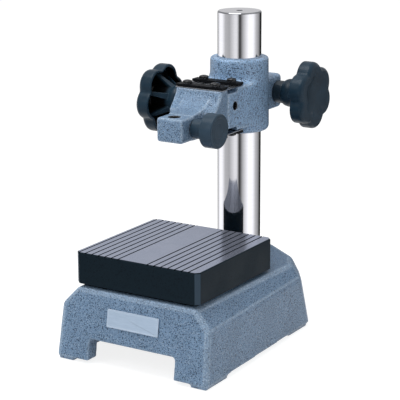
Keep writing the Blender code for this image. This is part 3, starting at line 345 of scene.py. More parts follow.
def make_card_shade(name, shades):
    """A glow that takes its grey from a ramp round the column, counted from the camera's side."""
    shade = bpy.data.materials.new(name)
    tree = cleared_tree(shade)
    place = add(tree, "ShaderNodeTexCoord").outputs["Object"]
    centred = add(tree, "ShaderNodeMapping", {"vector_type": "TEXTURE"}, Vector=place,
                  Location=(COLUMN_MIDDLE.x, COLUMN_MIDDLE.y, 0), Rotation=(0, 0, CAMERA_TURN))
    parts = add(tree, "ShaderNodeSeparateXYZ", Vector=centred.outputs[0])
    angle = sums(tree, "ARCTAN2", parts.outputs["X"], sums(tree, "MULTIPLY", parts.outputs["Y"], -1))
    ramp = add(tree, "ShaderNodeValToRGB", Fac=sums(tree, "MULTIPLY_ADD", angle, 1 / (2 * math.pi), 0.5))
    stops = ramp.color_ramp.elements
    for degrees, value in shades[1:-1]:
        stops.new((degrees + 180) / 360)
    for stop, (degrees, value) in zip(stops, shades):
        stop.position = (degrees + 180) / 360
        stop.color = (value, value, value * CARD_TINT, 1)
    glow = add(tree, "ShaderNodeEmission", Color=ramp.outputs[0])
    out = add(tree, "ShaderNodeOutputMaterial")
    tree.links.new(glow.outputs[0], out.inputs["Surface"])
    return shade


def make_cards(name, foot_radius, top_radius, low, height, shades):
    """A ring of grey cards round the column, which only mirror rays meet."""
    ring = bmesh.new()
    bmesh.ops.create_circle(ring, segments=CARD_SEGMENTS, radius=foot_radius)
    wall = bmesh.ops.extrude_edge_only(ring, edges=ring.edges)["geom"]
    raised = [v for v in wall if isinstance(v, bmesh.types.BMVert)]
    wider = top_radius / foot_radius
    bmesh.ops.scale(ring, verts=raised, vec=(wider, wider, 1))
    bmesh.ops.translate(ring, verts=raised, vec=(0, 0, height))
    bmesh.ops.translate(ring, verts=ring.verts, vec=(COLUMN_MIDDLE.x, COLUMN_MIDDLE.y, low))
    cards = put_in_studio(name, ring, make_card_shade(name + "_grey", shades))
    cards.visible_camera = False
    cards.visible_diffuse = False
    cards.visible_shadow = False
    cards.visible_volume_scatter = False


make_cards("studio_bowl", CARD_FOOT_RADIUS, CARD_TOP_RADIUS, CAD_LOW.z, CARD_HEIGHT, CARD_SHADES)
make_cards("studio_wall", CARD_TOP_RADIUS, CARD_TOP_RADIUS, CAD_LOW.z + CARD_HEIGHT, WALL_HEIGHT, WALL_SHADES)
print(len(CARD_SHADES), "shades round the column, and", len(WALL_SHADES), "on the wall")

# %% [markdown]
# ## Effects that several finishes share
#
# Three effects come back in many materials, so each is a node group that is built once. A group
# has named inputs, so that one material can ask for coarse flecks and another for fine ones.
#
# - flecks: small dark and light spots, and a height, for hammered paint and moulded plastic
# - worn and highlit edge: a mask that is 1 on a convex edge, from how far a rounded normal leans, for wear and a
#   painted highlight
# - grain: fine scratches along one direction, for ground, rolled and turned metal

# %% Build the shared node groups
def new_group(name, inputs, outputs):
    """An empty shader group with named sockets. Gives back its tree and its two end nodes."""
    tree = bpy.data.node_groups.new(name, "ShaderNodeTree")
    for label, kind, value in inputs:
        socket = tree.interface.new_socket(name=label, in_out="INPUT", socket_type="NodeSocket" + kind)
        if value is not None:
            socket.default_value = value
    for label, kind in outputs:
        tree.interface.new_socket(name=label, in_out="OUTPUT", socket_type="NodeSocket" + kind)
    return tree, tree.nodes.new("NodeGroupInput"), tree.nodes.new("NodeGroupOutput")


OTHER_PLACE = (0.31, 0.17, 0.23)


def build_flecks():
    """Dark flecks, light flecks and a pebbled height, at a scale counted in spots per metre."""
    tree, given, made = new_group(
        "flecks",
        [("Place", "Vector", None), ("Scale", "Float", 800.0), ("Cover", "Float", 0.5)],
        [("Dark", "Float"), ("Light", "Float"), ("Height", "Float"), ("Drift", "Float"), ("Pebble", "Float")])
    fine = add(tree, "ShaderNodeTexNoise", Vector=given.outputs["Place"], Scale=given.outputs["Scale"],
               Detail=2.5, Roughness=0.62)
    shifted = add(tree, "ShaderNodeVectorMath", {"operation": "ADD"})
    feed(tree, shifted.inputs[0], given.outputs["Place"])
    feed(tree, shifted.inputs[1], OTHER_PLACE)
    other = add(tree, "ShaderNodeTexNoise", Vector=shifted.outputs[0],
                Scale=sums(tree, "MULTIPLY", given.outputs["Scale"], 1.35), Detail=1.5, Roughness=0.55)
    wide = add(tree, "ShaderNodeTexNoise", Vector=given.outputs["Place"],
               Scale=sums(tree, "MULTIPLY", given.outputs["Scale"], 0.05), Detail=2.0)
    lowest = sums(tree, "MULTIPLY", given.outputs["Cover"], 0.84)
    dark = between(tree, fine.outputs[0], lowest, given.outputs["Cover"], 1.0, 0.0)
    light = between(tree, other.outputs[0], 0.56, 0.66)
    pebble = add(tree, "ShaderNodeTexVoronoi", {"feature": "SMOOTH_F1"}, Vector=given.outputs["Place"],
                 Scale=sums(tree, "MULTIPLY", given.outputs["Scale"], 0.7), Smoothness=0.6)
    height = sums(tree, "SUBTRACT", fine.outputs[0], sums(tree, "MULTIPLY", pebble.outputs["Distance"], 0.7))
    for name, value in (("Dark", dark), ("Light", light), ("Height", height), ("Drift", wide.outputs[0]),
                        ("Pebble", pebble.outputs["Distance"])):
        tree.links.new(value, made.inputs[name])
    return tree


def build_worn_and_highlit_edge():
    """A mask of convex edges, broken up by noise so that the wear and the painted highlight on them are uneven."""
    tree, given, made = new_group(
        "worn and highlit edge",
        [("Place", "Vector", None), ("Width", "Float", 0.001), ("Amount", "Float", 1.0)],
        [("Edge", "Float")])
    rounded = add(tree, "ShaderNodeBevel", {"samples": 4}, Radius=given.outputs["Width"])
    plain = add(tree, "ShaderNodeNewGeometry")
    lean = add(tree, "ShaderNodeVectorMath", {"operation": "DOT_PRODUCT"})
    tree.links.new(rounded.outputs[0], lean.inputs[0])
    tree.links.new(plain.outputs["Normal"], lean.inputs[1])
    edge = between(tree, lean.outputs["Value"], 0.999, 0.93)
    noise = add(tree, "ShaderNodeTexNoise", Vector=given.outputs["Place"], Scale=420.0, Detail=3.0)
    patchy = between(tree, noise.outputs[0], 0.35, 0.6, 0.35, 1.0)
    mask = sums(tree, "MULTIPLY", sums(tree, "MULTIPLY", edge, patchy), given.outputs["Amount"])
    tree.links.new(mask, made.inputs["Edge"])
    return tree


def build_grain():
    """Fine parallel scratches. The place that comes in is squeezed along the grain beforehand."""
    tree, given, made = new_group(
        "grain",
        [("Place", "Vector", None), ("Scale", "Float", 1500.0)],
        [("Value", "Float"), ("Height", "Float"), ("Drift", "Float")])
    fine = add(tree, "ShaderNodeTexNoise", Vector=given.outputs["Place"], Scale=given.outputs["Scale"],
               Detail=3.0, Roughness=0.7)
    broad = add(tree, "ShaderNodeTexNoise", Vector=given.outputs["Place"],
                Scale=sums(tree, "MULTIPLY", given.outputs["Scale"], 0.12), Detail=2.0)
    tree.links.new(between(tree, fine.outputs[0], 0.3, 0.7), made.inputs["Value"])
    tree.links.new(fine.outputs[0], made.inputs["Height"])
    tree.links.new(broad.outputs[0], made.inputs["Drift"])
    return tree


FLECKS = build_flecks()
WORN_AND_HIGHLIT_EDGE = build_worn_and_highlit_edge()
GRAIN = build_grain()
print("groups:", [g.name for g in (FLECKS, WORN_AND_HIGHLIT_EDGE, GRAIN)])

# %% [markdown]
# ## Starting a material
#
# Each finish starts the same way: a Principled shader, the place on the piece from Object
# coordinates, and a Mapping node that can squeeze the pattern along an axis. Numbers that are
# the same all over, such as how metallic it is, are set on the shader itself.

# %% Helpers for materials
def new_finish(name, squeeze=(1, 1, 1), **sockets):
    """A material with a Principled shader. Gives back the material, its tree, the shader and the place."""
    finish = bpy.data.materials.new(name)
    tree = cleared_tree(finish)
    shader = add(tree, "ShaderNodeBsdfPrincipled")
    for label, value in sockets.items():
        shader.inputs[label.replace("_", " ")].default_value = value
    out = add(tree, "ShaderNodeOutputMaterial")
    tree.links.new(shader.outputs[0], out.inputs["Surface"])
    place = add(tree, "ShaderNodeTexCoord").outputs["Object"]
    mapping = add(tree, "ShaderNodeMapping", Vector=place, Scale=squeeze)
    return finish, tree, shader, mapping.outputs[0]


def use_group(tree, group, **sockets):
    """One of the shared groups, placed in a material with its own values."""
    made = add(tree, "ShaderNodeGroup", {"node_tree": group})
    for name, value in sockets.items():
        feed(tree, made.inputs[name], value)
    return made


def bump(tree, shader, height, distance, strength=1.0):
    """Turns a height into a leaning normal, with the height's real depth in metres."""
    made = add(tree, "ShaderNodeBump", Strength=strength, Distance=distance, Height=height)
    tree.links.new(made.outputs[0], shader.inputs["Normal"])


print("finishes start from a Principled shader")

# %% [markdown]
# ## Hammered paint
#
# The castings wear a blue-grey hammered enamel: dark flecks about a millimetre across in a paler
# blue, with a pebbled gloss. Two noises give the flecks, and the same noise gives the height, so
# that each fleck is also a dimple. Where the casting has an edge, the paint is pale: partly thin
# worn paint, partly a painted highlight along the edge. Each point of a casting carries a number,
# near_edge, that says how close an edge is. Faces that were machined after painting are bare dark
# iron: the anvil's seat, the bores and the narrow joint between the holder and the arm. Their
# near-black is also painted shade, for the shadow under the anvil and the shade in the bores and
# the joint. Each is found by where it lies on the casting.
#
# In the picture the castings look painted alike. Here the base, the arm and the holder get a coat
# each, of its own lightness and shine, because these lamps alone left the arm darker than it is
# in the picture. Under other lamps the three coats will look less alike than the real ones.

# %% Hammered paint
PAINT_BLUE = shown(118, 146, 176)
PAINT_DARK = shown(36, 56, 78)
PAINT_PALE_AND_HIGHLIGHT = shown(192, 210, 229)
BARE_IRON_AND_SHADE = shown(16, 20, 25)
NEAR_EDGE = "near_edge"
SEAT_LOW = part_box("anvil")[0].z - 1.9 * MM
SEAT_HEIGHT = 3 * MM
STEM_BORE = 5.0 * MM
TAIL_BORE = 3.5 * MM
FINE_AXIS = middle_of("fine_adjust_bush")
HOLDER_LOW, HOLDER_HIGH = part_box("stem_holder")
JOINT_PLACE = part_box("collar")[0].y - 0.3 * MM
JOINT_REACH = 0.42 * MM


def inside_bore(tree, first, second, centre, radius):
    """1 within a radius of a straight line, which runs square to two of the place's three numbers."""
    across = sums(tree, "POWER", sums(tree, "SUBTRACT", first, centre[0]), 2.0)
    along = sums(tree, "POWER", sums(tree, "SUBTRACT", second, centre[1]), 2.0)
    return sums(tree, "LESS_THAN", sums(tree, "ADD", across, along), radius ** 2)


def bare_and_shaded_faces(tree, place):
    """1 on the castings' machined faces, painted near-black: bare iron, and painted shade under the anvil, in
    bores and joint.
    """
    x, y, z = add(tree, "ShaderNodeSeparateXYZ", Vector=place).outputs
    seat = sums(tree, "MULTIPLY", sums(tree, "GREATER_THAN", z, SEAT_LOW),
                sums(tree, "LESS_THAN", z, SEAT_LOW + SEAT_HEIGHT))
    stem = inside_bore(tree, x, y, (0, 0), STEM_BORE)
    tail = sums(tree, "MULTIPLY", inside_bore(tree, y, z, (FINE_AXIS.y, FINE_AXIS.z), TAIL_BORE),
                sums(tree, "GREATER_THAN", x, 0.0))
    off_joint = sums(tree, "ABSOLUTE", sums(tree, "SUBTRACT", y, JOINT_PLACE))
    joint = sums(tree, "MULTIPLY", sums(tree, "LESS_THAN", off_joint, JOINT_REACH),
                 sums(tree, "GREATER_THAN", z, HOLDER_LOW.z - MM))
    return sums(tree, "MAXIMUM", sums(tree, "MAXIMUM", seat, stem), sums(tree, "MAXIMUM", tail, joint))


def make_hammered_paint(name, lightness, depth, gloss, scale, cover):
    """Blue-grey hammered enamel: its lightness, which is painted light, the depth of its dimples, its shine, and
    its flecks.
    """
    finish, tree, shader, place = new_finish(name, Metallic=0.0, Specular_IOR_Level=gloss)
    flecks = use_group(tree, FLECKS, Place=place, Scale=scale, Cover=cover)
    near = add(tree, "ShaderNodeAttribute", {"attribute_name": NEAR_EDGE}).outputs["Fac"]
    edge = sums(tree, "MULTIPLY", near, between(tree, flecks.outputs["Pebble"], 0.1, 0.5, 0.9, 0.3))
    drifting = between(tree, flecks.outputs["Drift"], 0.3, 0.7)
    tones = [tuple(t * lightness * c for c in PAINT_BLUE) for t in (0.93, 1.06)]
    ground = blend_colours(tree, drifting, *tones)
    paler = blend_colours(tree, sums(tree, "MULTIPLY", flecks.outputs["Light"], 0.42), ground, PAINT_PALE_AND_HIGHLIGHT)
    flecked = blend_colours(tree, sums(tree, "MULTIPLY", flecks.outputs["Dark"], 0.9), paler, PAINT_DARK)
    # Pale edges: partly worn thin paint, partly a painted highlight along the edge.
    worn_and_highlit = blend_colours(tree, edge, flecked, PAINT_PALE_AND_HIGHLIGHT)
    # Machined faces are painted near-black: bare iron, and painted shade under the anvil, in the bores and in the
    # joint.
    tree.links.new(blend_colours(tree, bare_and_shaded_faces(tree, place), worn_and_highlit, BARE_IRON_AND_SHADE), shader.inputs["Base Color"])
    tree.links.new(between(tree, flecks.outputs["Dark"], 0, 1, 0.26, 0.50), shader.inputs["Roughness"])
    bump(tree, shader, flecks.outputs["Height"], depth, 0.9)
    return finish


# Each coat's lightness is painted light: the arm's coat is much lighter, to stand in for light that these lamps
# don't give it.
HAMMERED_PAINT = make_hammered_paint("hammered_paint", 0.93, 0.42 * MM, 0.20, 1020.0, 0.470)
ARM_PAINT_WITH_PAINTED_LIGHT = make_hammered_paint("hammered_paint_with_painted_light_on_arm", 1.40, 0.62 * MM, 0.50, 940.0, 0.482)
HOLDER_PAINT = make_hammered_paint("hammered_paint_on_holder", 0.94, 0.45 * MM, 0.30, 1020.0, 0.468)
print("made", [m.name for m in (HAMMERED_PAINT, ARM_PAINT_WITH_PAINTED_LIGHT, HOLDER_PAINT)])

# %% [markdown]
# ## Chrome, ground and lapped metal
#
# The column is ground and hard chromed: a mirror with hair-fine rings round it, so the pattern is
# squeezed to be long round the column and short along it. The squeeze multiplies the place's
# height, so the mask that darkens the top's rim multiplies its limit too. That darker rim is a
# painted dark reflection, and the darker centre hole is painted shade. The anvil is blackened
# metal, and only its top is lapped bright. A mask from the height and from which way the face
# looks tells the lapped lands from the dark grooves and sides, and another finds the ground
# corners, which are lighter: partly ground steel, partly a painted highlight.

# %% Chrome
RING_SQUEEZE = 40
RIM_WIDTH = 1.1 * MM
CENTRE_HOLE = 2.7 * MM


def make_chrome():
    """Hard chrome over a ground surface."""
    finish, tree, shader, place = new_finish("ground_chrome", squeeze=(1, 1, RING_SQUEEZE), Metallic=1.0)
    grain = use_group(tree, GRAIN, Place=place, Scale=60.0)
    tone = blend_colours(tree, grain.outputs["Value"], shown(223, 223, 226), shown(228, 228, 230))
    x, y, z = add(tree, "ShaderNodeSeparateXYZ", Vector=place).outputs
    hole, inner = [inside_bore(tree, x, y, (COLUMN_MIDDLE.x, COLUMN_MIDDLE.y), radius)
                   for radius in (CENTRE_HOLE, COLUMN_RADIUS - RIM_WIDTH)]
    # The top's rim is painted darker, a painted dark reflection, and the centre hole darker still, painted shade.
    on_top = sums(tree, "GREATER_THAN", z, RING_SQUEEZE * (COLUMN_HIGH.z - RIM_WIDTH))
    rim = sums(tree, "MULTIPLY", on_top, sums(tree, "SUBTRACT", 1.0, inner))
    rim_with_painted_reflection = blend_colours(tree, sums(tree, "MULTIPLY", rim, 0.8), tone, shown(96, 98, 104))
    tree.links.new(blend_colours(tree, hole, rim_with_painted_reflection, shown(52, 55, 62)), shader.inputs["Base Color"])
    tree.links.new(between(tree, grain.outputs["Drift"], 0.3, 0.7, 0.06, 0.09), shader.inputs["Roughness"])
    bump(tree, shader, grain.outputs["Height"], 0.004 * MM, 0.05)
    return finish


CHROME = make_chrome()
print("made", CHROME.name)

# %% Blackened and lapped metal
LAND_DEPTH = 0.12 * MM


def make_lapped_steel():
    """Blackened metal with a bright lapped top."""
    finish, tree, shader, place = new_finish("lapped_black_steel", IOR=1.15)
    height = add(tree, "ShaderNodeSeparateXYZ", Vector=place).outputs["Z"]
    facing = add(tree, "ShaderNodeSeparateXYZ", Vector=add(tree, "ShaderNodeNewGeometry").outputs["Normal"])
    on_top = sums(tree, "GREATER_THAN", height, -LAND_DEPTH)
    level_face = between(tree, facing.outputs["Z"], 0.90, 0.995)
    land = sums(tree, "MULTIPLY", on_top, level_face)
    lapping = use_group(tree, GRAIN, Place=place, Scale=420.0)
    flecks = use_group(tree, FLECKS, Place=place, Scale=900.0, Cover=0.42)
    bright = blend_colours(tree, lapping.outputs["Drift"], shown(152, 163, 186), shown(170, 178, 198))
    dark = blend_colours(tree, flecks.outputs["Dark"], shown(18, 32, 41), shown(12, 22, 30))
    # The ground corner chamfers are lighter: partly ground steel, partly a painted highlight.
    corner = sums(tree, "ABSOLUTE", sums(tree, "MULTIPLY", facing.outputs["X"], facing.outputs["Y"]))
    chamfer_highlight = between(tree, corner, 0.40, 0.49, 0.0, 0.85)
    ground = blend_colours(tree, chamfer_highlight, dark, shown(66, 82, 97))
    tree.links.new(blend_colours(tree, land, ground, bright), shader.inputs["Base Color"])
    tree.links.new(sums(tree, "MULTIPLY", land, 0.92), shader.inputs["Metallic"])
    mirror = between(tree, lapping.outputs["Value"], 0, 1, 0.13, 0.19)
    satin = between(tree, flecks.outputs["Drift"], 0.3, 0.7, 0.38, 0.48)
    rough = add(tree, "ShaderNodeMix", {"data_type": "FLOAT"})
    for socket, value in zip((rough.inputs[0], rough.inputs[2], rough.inputs[3]), (land, satin, mirror)):
        feed(tree, socket, value)
    tree.links.new(rough.outputs[0], shader.inputs["Roughness"])
    uneven = sums(tree, "MULTIPLY", flecks.outputs["Height"], sums(tree, "SUBTRACT", 1.0, land))
    bump(tree, shader, uneven, 0.03 * MM, 0.35)
    return finish


LAPPED_STEEL = make_lapped_steel()
print("made", LAPPED_STEEL.name)

# %% [markdown]
# ## Metal in small parts
#
# The clamp plates are black oxide and their screws a glossier black, the leaves are bright spring
# strip, the clamp screw is turned steel and the bush is bronze. One helper makes them all: a
# colour in two tones, a grain, and a brighter edge, partly where a spanner or a thumb has rubbed
# and partly a painted highlight.

# %% Small metal parts
def make_metal(name, tones, rough, metallic, scale, squeeze=(1, 1, 1), edge_width=0.35 * MM, gloss=0.5):
    """A metal from three tones: low, high, and an edge tone that is worn metal and a painted highlight. Its grain
    runs where the squeeze is small.
    """
    finish, tree, shader, place = new_finish(name, squeeze=squeeze, Metallic=metallic, Specular_IOR_Level=gloss)
    low, high, worn_and_highlight_tone = [shown(*tone) for tone in tones]
    grain = use_group(tree, GRAIN, Place=place, Scale=scale)
    edge = use_group(tree, WORN_AND_HIGHLIT_EDGE, Place=place, Width=edge_width, Amount=0.7)
    tone = blend_colours(tree, grain.outputs["Value"], low, high)
    tree.links.new(blend_colours(tree, edge.outputs[0], tone, worn_and_highlight_tone), shader.inputs["Base Color"])
    tree.links.new(between(tree, grain.outputs["Drift"], 0.3, 0.7, *rough), shader.inputs["Roughness"])
    bump(tree, shader, grain.outputs["Height"], 0.02 * MM, 0.3)
    return finish


ALONG_X, ALONG_Y, ROUND_X = (0.05, 1, 1), (1, 0.06, 1), (1, 0.05, 0.05)
# The pale edge tones, brightest on the screw heads, are partly wear and partly a painted highlight.
BLACK_OXIDE = make_metal("black_oxide_steel", ((8, 10, 13), (14, 16, 20), (70, 76, 86)), (0.50, 0.62), 0.0, 1300.0,
                         edge_width=0.22 * MM, gloss=0.08)
BLACK_HEADS = make_metal("black_screw_heads", ((10, 12, 15), (18, 20, 24), (176, 182, 192)), (0.16, 0.24), 0.2,
                         1300.0, edge_width=0.42 * MM, gloss=0.45)
BLUED_STEEL = make_metal("blued_steel", ((22, 36, 47), (32, 48, 60), (84, 100, 112)), (0.30, 0.42), 0.2, 1100.0,
                         edge_width=0.5 * MM, gloss=0.4)
SPRING_STEEL = make_metal("spring_steel", ((166, 172, 180), (196, 201, 208), (226, 229, 232)), (0.20, 0.32), 1.0,
                          2600.0, ALONG_Y)
BRIGHT_STEEL = make_metal("bright_steel", ((158, 160, 163), (190, 191, 192), (222, 222, 222)), (0.22, 0.36), 1.0,
                          2400.0, ROUND_X)
BRONZE = make_metal("bearing_bronze", ((148, 112, 62), (182, 144, 88), (214, 180, 120)), (0.28, 0.42), 1.0,
                    2400.0, ROUND_X)
print("made", [m.name for m in (BLACK_OXIDE, BLACK_HEADS, BLUED_STEEL, SPRING_STEEL, BRIGHT_STEEL, BRONZE)])

# %% [markdown]
# ## Name plate metal and knob plastic
#
# The plate is satin aluminium, brushed from side to side, and bare: nothing is printed on it. The
# knobs are dark slate plastic with the faint orange-peel skin of a mould, which a very shallow
# bump gives, and their edges shine a little: partly where hands have polished them, partly a
# painted highlight. Each point of a lobed knob carries a number, inside, that is 1 in its hollow,
# where the plastic is painted nearly black: painted shade. The small knob's plastic is lighter,
# for the same reason as the arm's paint: painted light.

# %% Name plate metal
PLATE_METAL = make_metal("name_plate_metal", ((170, 190, 212), (182, 201, 222), (222, 230, 240)), (0.46, 0.50),
                         0.3, 2600.0, ALONG_X)
print("made", PLATE_METAL.name)


# %% Knob plastic
HOLLOW_SHADE = "inside"


def make_plastic(name, low, high):
    """Dark slate moulded plastic, satin outside, and painted nearly black in its hollow: painted shade."""
    finish, tree, shader, place = new_finish(name, Specular_IOR_Level=0.18)
    skin = use_group(tree, FLECKS, Place=place, Scale=1500.0, Cover=0.45)
    edge = use_group(tree, WORN_AND_HIGHLIT_EDGE, Place=place, Width=0.9 * MM, Amount=0.5)
    hollow_shade_mark = add(tree, "ShaderNodeAttribute", {"attribute_name": HOLLOW_SHADE}).outputs["Fac"]
    inner = between(tree, hollow_shade_mark, 0.0, 0.25)
    tone = blend_colours(tree, between(tree, skin.outputs["Drift"], 0.3, 0.7), low, high)
    # Lighter edges: partly polished by hands, partly a painted highlight.
    rubbed = blend_colours(tree, edge.outputs[0], tone, shown(76, 96, 110))
    # The hollow is painted nearly black: painted shade.
    tree.links.new(blend_colours(tree, inner, rubbed, shown(3, 4, 6)), shader.inputs["Base Color"])
    tree.links.new(between(tree, skin.outputs["Light"], 0, 1, 0.30, 0.38), shader.inputs["Roughness"])
    bump(tree, shader, skin.outputs["Height"], 0.03 * MM, 0.25)
    return finish


PLASTIC = make_plastic("knob_plastic", shown(22, 42, 56), shown(30, 51, 66))
# The small knob's plastic is lighter than the big knobs': painted light, which these lamps don't give it.
SMALL_PLASTIC_WITH_PAINTED_LIGHT = make_plastic("small_knob_plastic_with_painted_light", shown(39, 58, 73), shown(47, 66, 82))
print("made", PLASTIC.name, "and", SMALL_PLASTIC_WITH_PAINTED_LIGHT.name)

# %% [markdown]
# ## Making a piece
#
# A bmesh becomes a piece in four steps: it is written to a mesh, gets its material, is shaded
# smooth except at sharp edges, and rides on the body that its CAD node rides on. A CAD node's
# mesh is loose triangles, so a copy of it is welded first, and its flat faces are made whole.
# A piece takes its slot's material, or a variant of it where it needs a tone of its own.
# Weighted normals keep a large flat face flat next to a narrow rounded edge, which a mirror
# would otherwise show as a bend.

# %% Helpers for pieces
WELD = 0.001 * MM
FLAT_LIMIT = math.radians(0.6)
SLOT_OF = {
    "hammered_paint": HAMMERED_PAINT, "ground_chrome": CHROME, "lapped_black_steel": LAPPED_STEEL,
    "knob_plastic": PLASTIC, "black_oxide_steel": BLACK_OXIDE, "spring_steel": SPRING_STEEL,
    "bright_steel": BRIGHT_STEEL, "bearing_bronze": BRONZE, "name_plate_metal": PLATE_METAL,
}


def welded_copy(node):
    """A bmesh of a CAD node's mesh, with its triangles joined and its flat faces made whole."""
    shape = bmesh.new()
    shape.from_mesh(NODES[node].data)
    bmesh.ops.remove_doubles(shape, verts=shape.verts, dist=WELD)
    bmesh.ops.dissolve_limit(shape, angle_limit=FLAT_LIMIT, verts=shape.verts, edges=shape.edges)
    return shape


def to_object(name, shape, finish):
    """Writes a bmesh to a new object with a finish."""
    mesh = bpy.data.meshes.new(name)
    shape.to_mesh(mesh)
    shape.free()
    mesh.materials.append(finish)
    piece = bpy.data.objects.new(name, mesh)
    bpy.context.scene.collection.objects.link(piece)
    return piece


def apply_modifiers(piece):
    """Replaces a piece's mesh with what its modifiers make of it."""
    bpy.context.view_layer.update()
    ready = piece.evaluated_get(bpy.context.evaluated_depsgraph_get())
    mesh = bpy.data.meshes.new_from_object(ready)
    piece.modifiers.clear()
    piece.data = mesh


def settle(piece, node, sharp=32):
    """Shades a finished piece, and lets it ride on its CAD node's body and stand for that node."""
    for face in piece.data.polygons:
        face.use_smooth = True
    if sharp:
        piece.data.set_sharp_from_angle(angle=math.radians(sharp))
        level_out = piece.modifiers.new("level_out", "WEIGHTED_NORMAL")
        level_out.keep_sharp = True
        level_out.weight = 100
        apply_modifiers(piece)
    if "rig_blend" not in piece:
        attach(piece, NODES[node]["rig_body"])
    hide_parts(node)
    triangles = sum(len(f.vertices) - 2 for f in piece.data.polygons)
    print(f"{piece.name}: {triangles} triangles, for {node}")


def make_piece(name, shape, slot, node, finish=None, sharp=32):
    """Makes a bmesh a settled piece, in its slot's finish or in one of its own."""
    settle(to_object(name, shape, finish or SLOT_OF[slot]), node, sharp)


def bevel_edges(shape, edges, width, segments, **more):
    """Bevels some edges of a bmesh in the way that the editor does by default."""
    bmesh.ops.bevel(shape, geom=edges, offset=width, segments=segments, profile=0.5, affect="EDGES",
                    material=-1, **more)


# %% [markdown]
# ## Castings
#
# Sand castings have no crisp edge anywhere: corners are rounded and inner corners filled, and the
# paint rounds them again. The quickest way to that is to rebuild the solid from small cubes, all
# of one size, and to relax the result a few times. Flat faces stay flat, and every edge softens
# by about the same amount. A last step takes out the faces that flat areas don't need. Where the
# arm's box runs into the round collar, a vertex group asks for much more of it: a wide fillet.
#
# Relaxing has a cost deep in the holder, where the cotter's stud slides in a blind bore: it
# rounds the bore's floor into the stud's way. That floor is set flat again, a little further in.

# %% Cast the base, the collar and the holder
RELAX_FACTOR = 0.5
FLARE_EDGE = 4 * MM
FLARE_LEAD = 5 * MM
FLARE_STOP = 2.3 * MM
FILLET_LEAD = 9 * MM
FILLET_TOP = 9 * MM
FILLET_ROUNDS = 160
BORE_WALL = 2 * MM
STUD_ROOM = 0.8 * MM
STUD_REACH = 0.45 * MM
EDGE_REACH = 1.6 * MM


def make_casting(name, node, paint, grain_size, relax, keep, edge_limit, adjust=None):
    """A softened casting from a CAD node: fine cubes, relaxed, with spare faces taken out."""
    piece = to_object(name, welded_copy(node), paint)
    rebuild = piece.modifiers.new("rebuild", "REMESH")
    rebuild.mode = "VOXEL"
    rebuild.voxel_size = grain_size
    soften = piece.modifiers.new("soften", "SMOOTH")
    soften.factor = RELAX_FACTOR
    soften.iterations = relax
    apply_modifiers(piece)
    if adjust:
        adjust(piece)
    thin = piece.modifiers.new("thin", "DECIMATE")
    thin.ratio = keep
    apply_modifiers(piece)
    mark_edges(piece, node, edge_limit)
    settle(piece, node, sharp=None)


def fill_collar_corner(piece):
    """Lets the arm's box flare until it touches the round collar, and relaxes the corner above it."""
    collar_low, collar_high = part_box("collar")
    box_half = (HOLDER_HIGH.x - HOLDER_LOW.x) / 2
    collar_half = (collar_high.x - collar_low.x) / 2
    start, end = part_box("top_rear_plate")[1].y - FLARE_LEAD, COLUMN_MIDDLE.y - FLARE_STOP
    low, high = HOLDER_LOW.z, HOLDER_HIGH.z + FILLET_TOP
    bore = COLUMN_RADIUS + BORE_WALL
    group = piece.vertex_groups.new(name="corner")
    for vert in piece.data.vertices:
        x, y, z = vert.co
        flare = (collar_half - 0.1 * MM - box_half) * (y - start) / (end - start)
        if start < y < end and low - MM < z < HOLDER_HIGH.z + MM and abs(x) > box_half - FLARE_EDGE:
            outer = min((abs(x) - box_half + FLARE_EDGE) / FLARE_EDGE, 1) * flare
            vert.co.x = math.copysign(1, x) * max(abs(x), min(abs(x), box_half) + outer)
        reach = min(y - start - FILLET_LEAD, end + 3 * MM - y, z - low - 2 * MM, high - z) / FLARE_EDGE
        if reach > 0 and math.hypot(x, y - COLUMN_MIDDLE.y) > bore:
            group.add([vert.index], min(reach, 1), "REPLACE")
    relax = piece.modifiers.new("fillet", "SMOOTH")
    relax.factor = RELAX_FACTOR
    relax.iterations = FILLET_ROUNDS
    relax.vertex_group = group.name
    apply_modifiers(piece)


def clear_stud_bore(piece):
    """Makes the floor of the stud's bore flat out to its corner, where relaxing left too little room."""
    low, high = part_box("stem_cotter_stud")
    middle, radius = (low + high) / 2, (high.y - low.y) / 2
    floor = low.x - STUD_ROOM
    for vert in piece.data.vertices:
        from_axis = math.hypot(vert.co.y - middle.y, vert.co.z - middle.z)
        if from_axis < radius + STUD_REACH and floor < vert.co.x < low.x + 0.5 * MM:
            vert.co.x = floor


def mark_edges(piece, node, limit):
    """Notes on each point how near it is to a sharp outer edge of the solid: 1 on it, 0 past the reach."""
    solid = welded_copy(node)
    marks = []
    for edge in solid.edges:
        if len(edge.link_faces) == 2 and edge.calc_face_angle_signed(0) > math.radians(limit):
            steps = max(1, round(edge.calc_length() / MM))
            marks += [edge.verts[0].co.lerp(edge.verts[1].co, i / steps) for i in range(steps + 1)]
    solid.free()
    near = KDTree(len(marks))
    for index, mark in enumerate(marks):
        near.insert(mark, index)
    near.balance()
    values = [max(0, 1 - near.find(vert.co)[2] / EDGE_REACH) for vert in piece.data.vertices]
    piece.data.attributes.new(NEAR_EDGE, "FLOAT", "POINT").data.foreach_set("value", values)


make_casting("painted_base", "base_casting", HAMMERED_PAINT, 1.0 * MM, 6, 0.30, 14)
make_casting("painted_collar", "collar", ARM_PAINT_WITH_PAINTED_LIGHT, 0.6 * MM, 8, 0.40, 35, fill_collar_corner)
make_casting("painted_holder", "stem_holder", HOLDER_PAINT, 0.5 * MM, 5, 0.40, 35, clear_stud_bore)

# %% [markdown]
# ## Machined pieces
#
# A machined edge is broken with a file or a fine chamfer, a fraction of a millimetre wide. That
# thin facet catches the light and is what makes steel look like steel. A bevel on every edge
# sharper than a limit does it, on a welded copy of the CAD node.

# %% Break the edges of machined pieces
SHARP_LIMIT = math.radians(40)


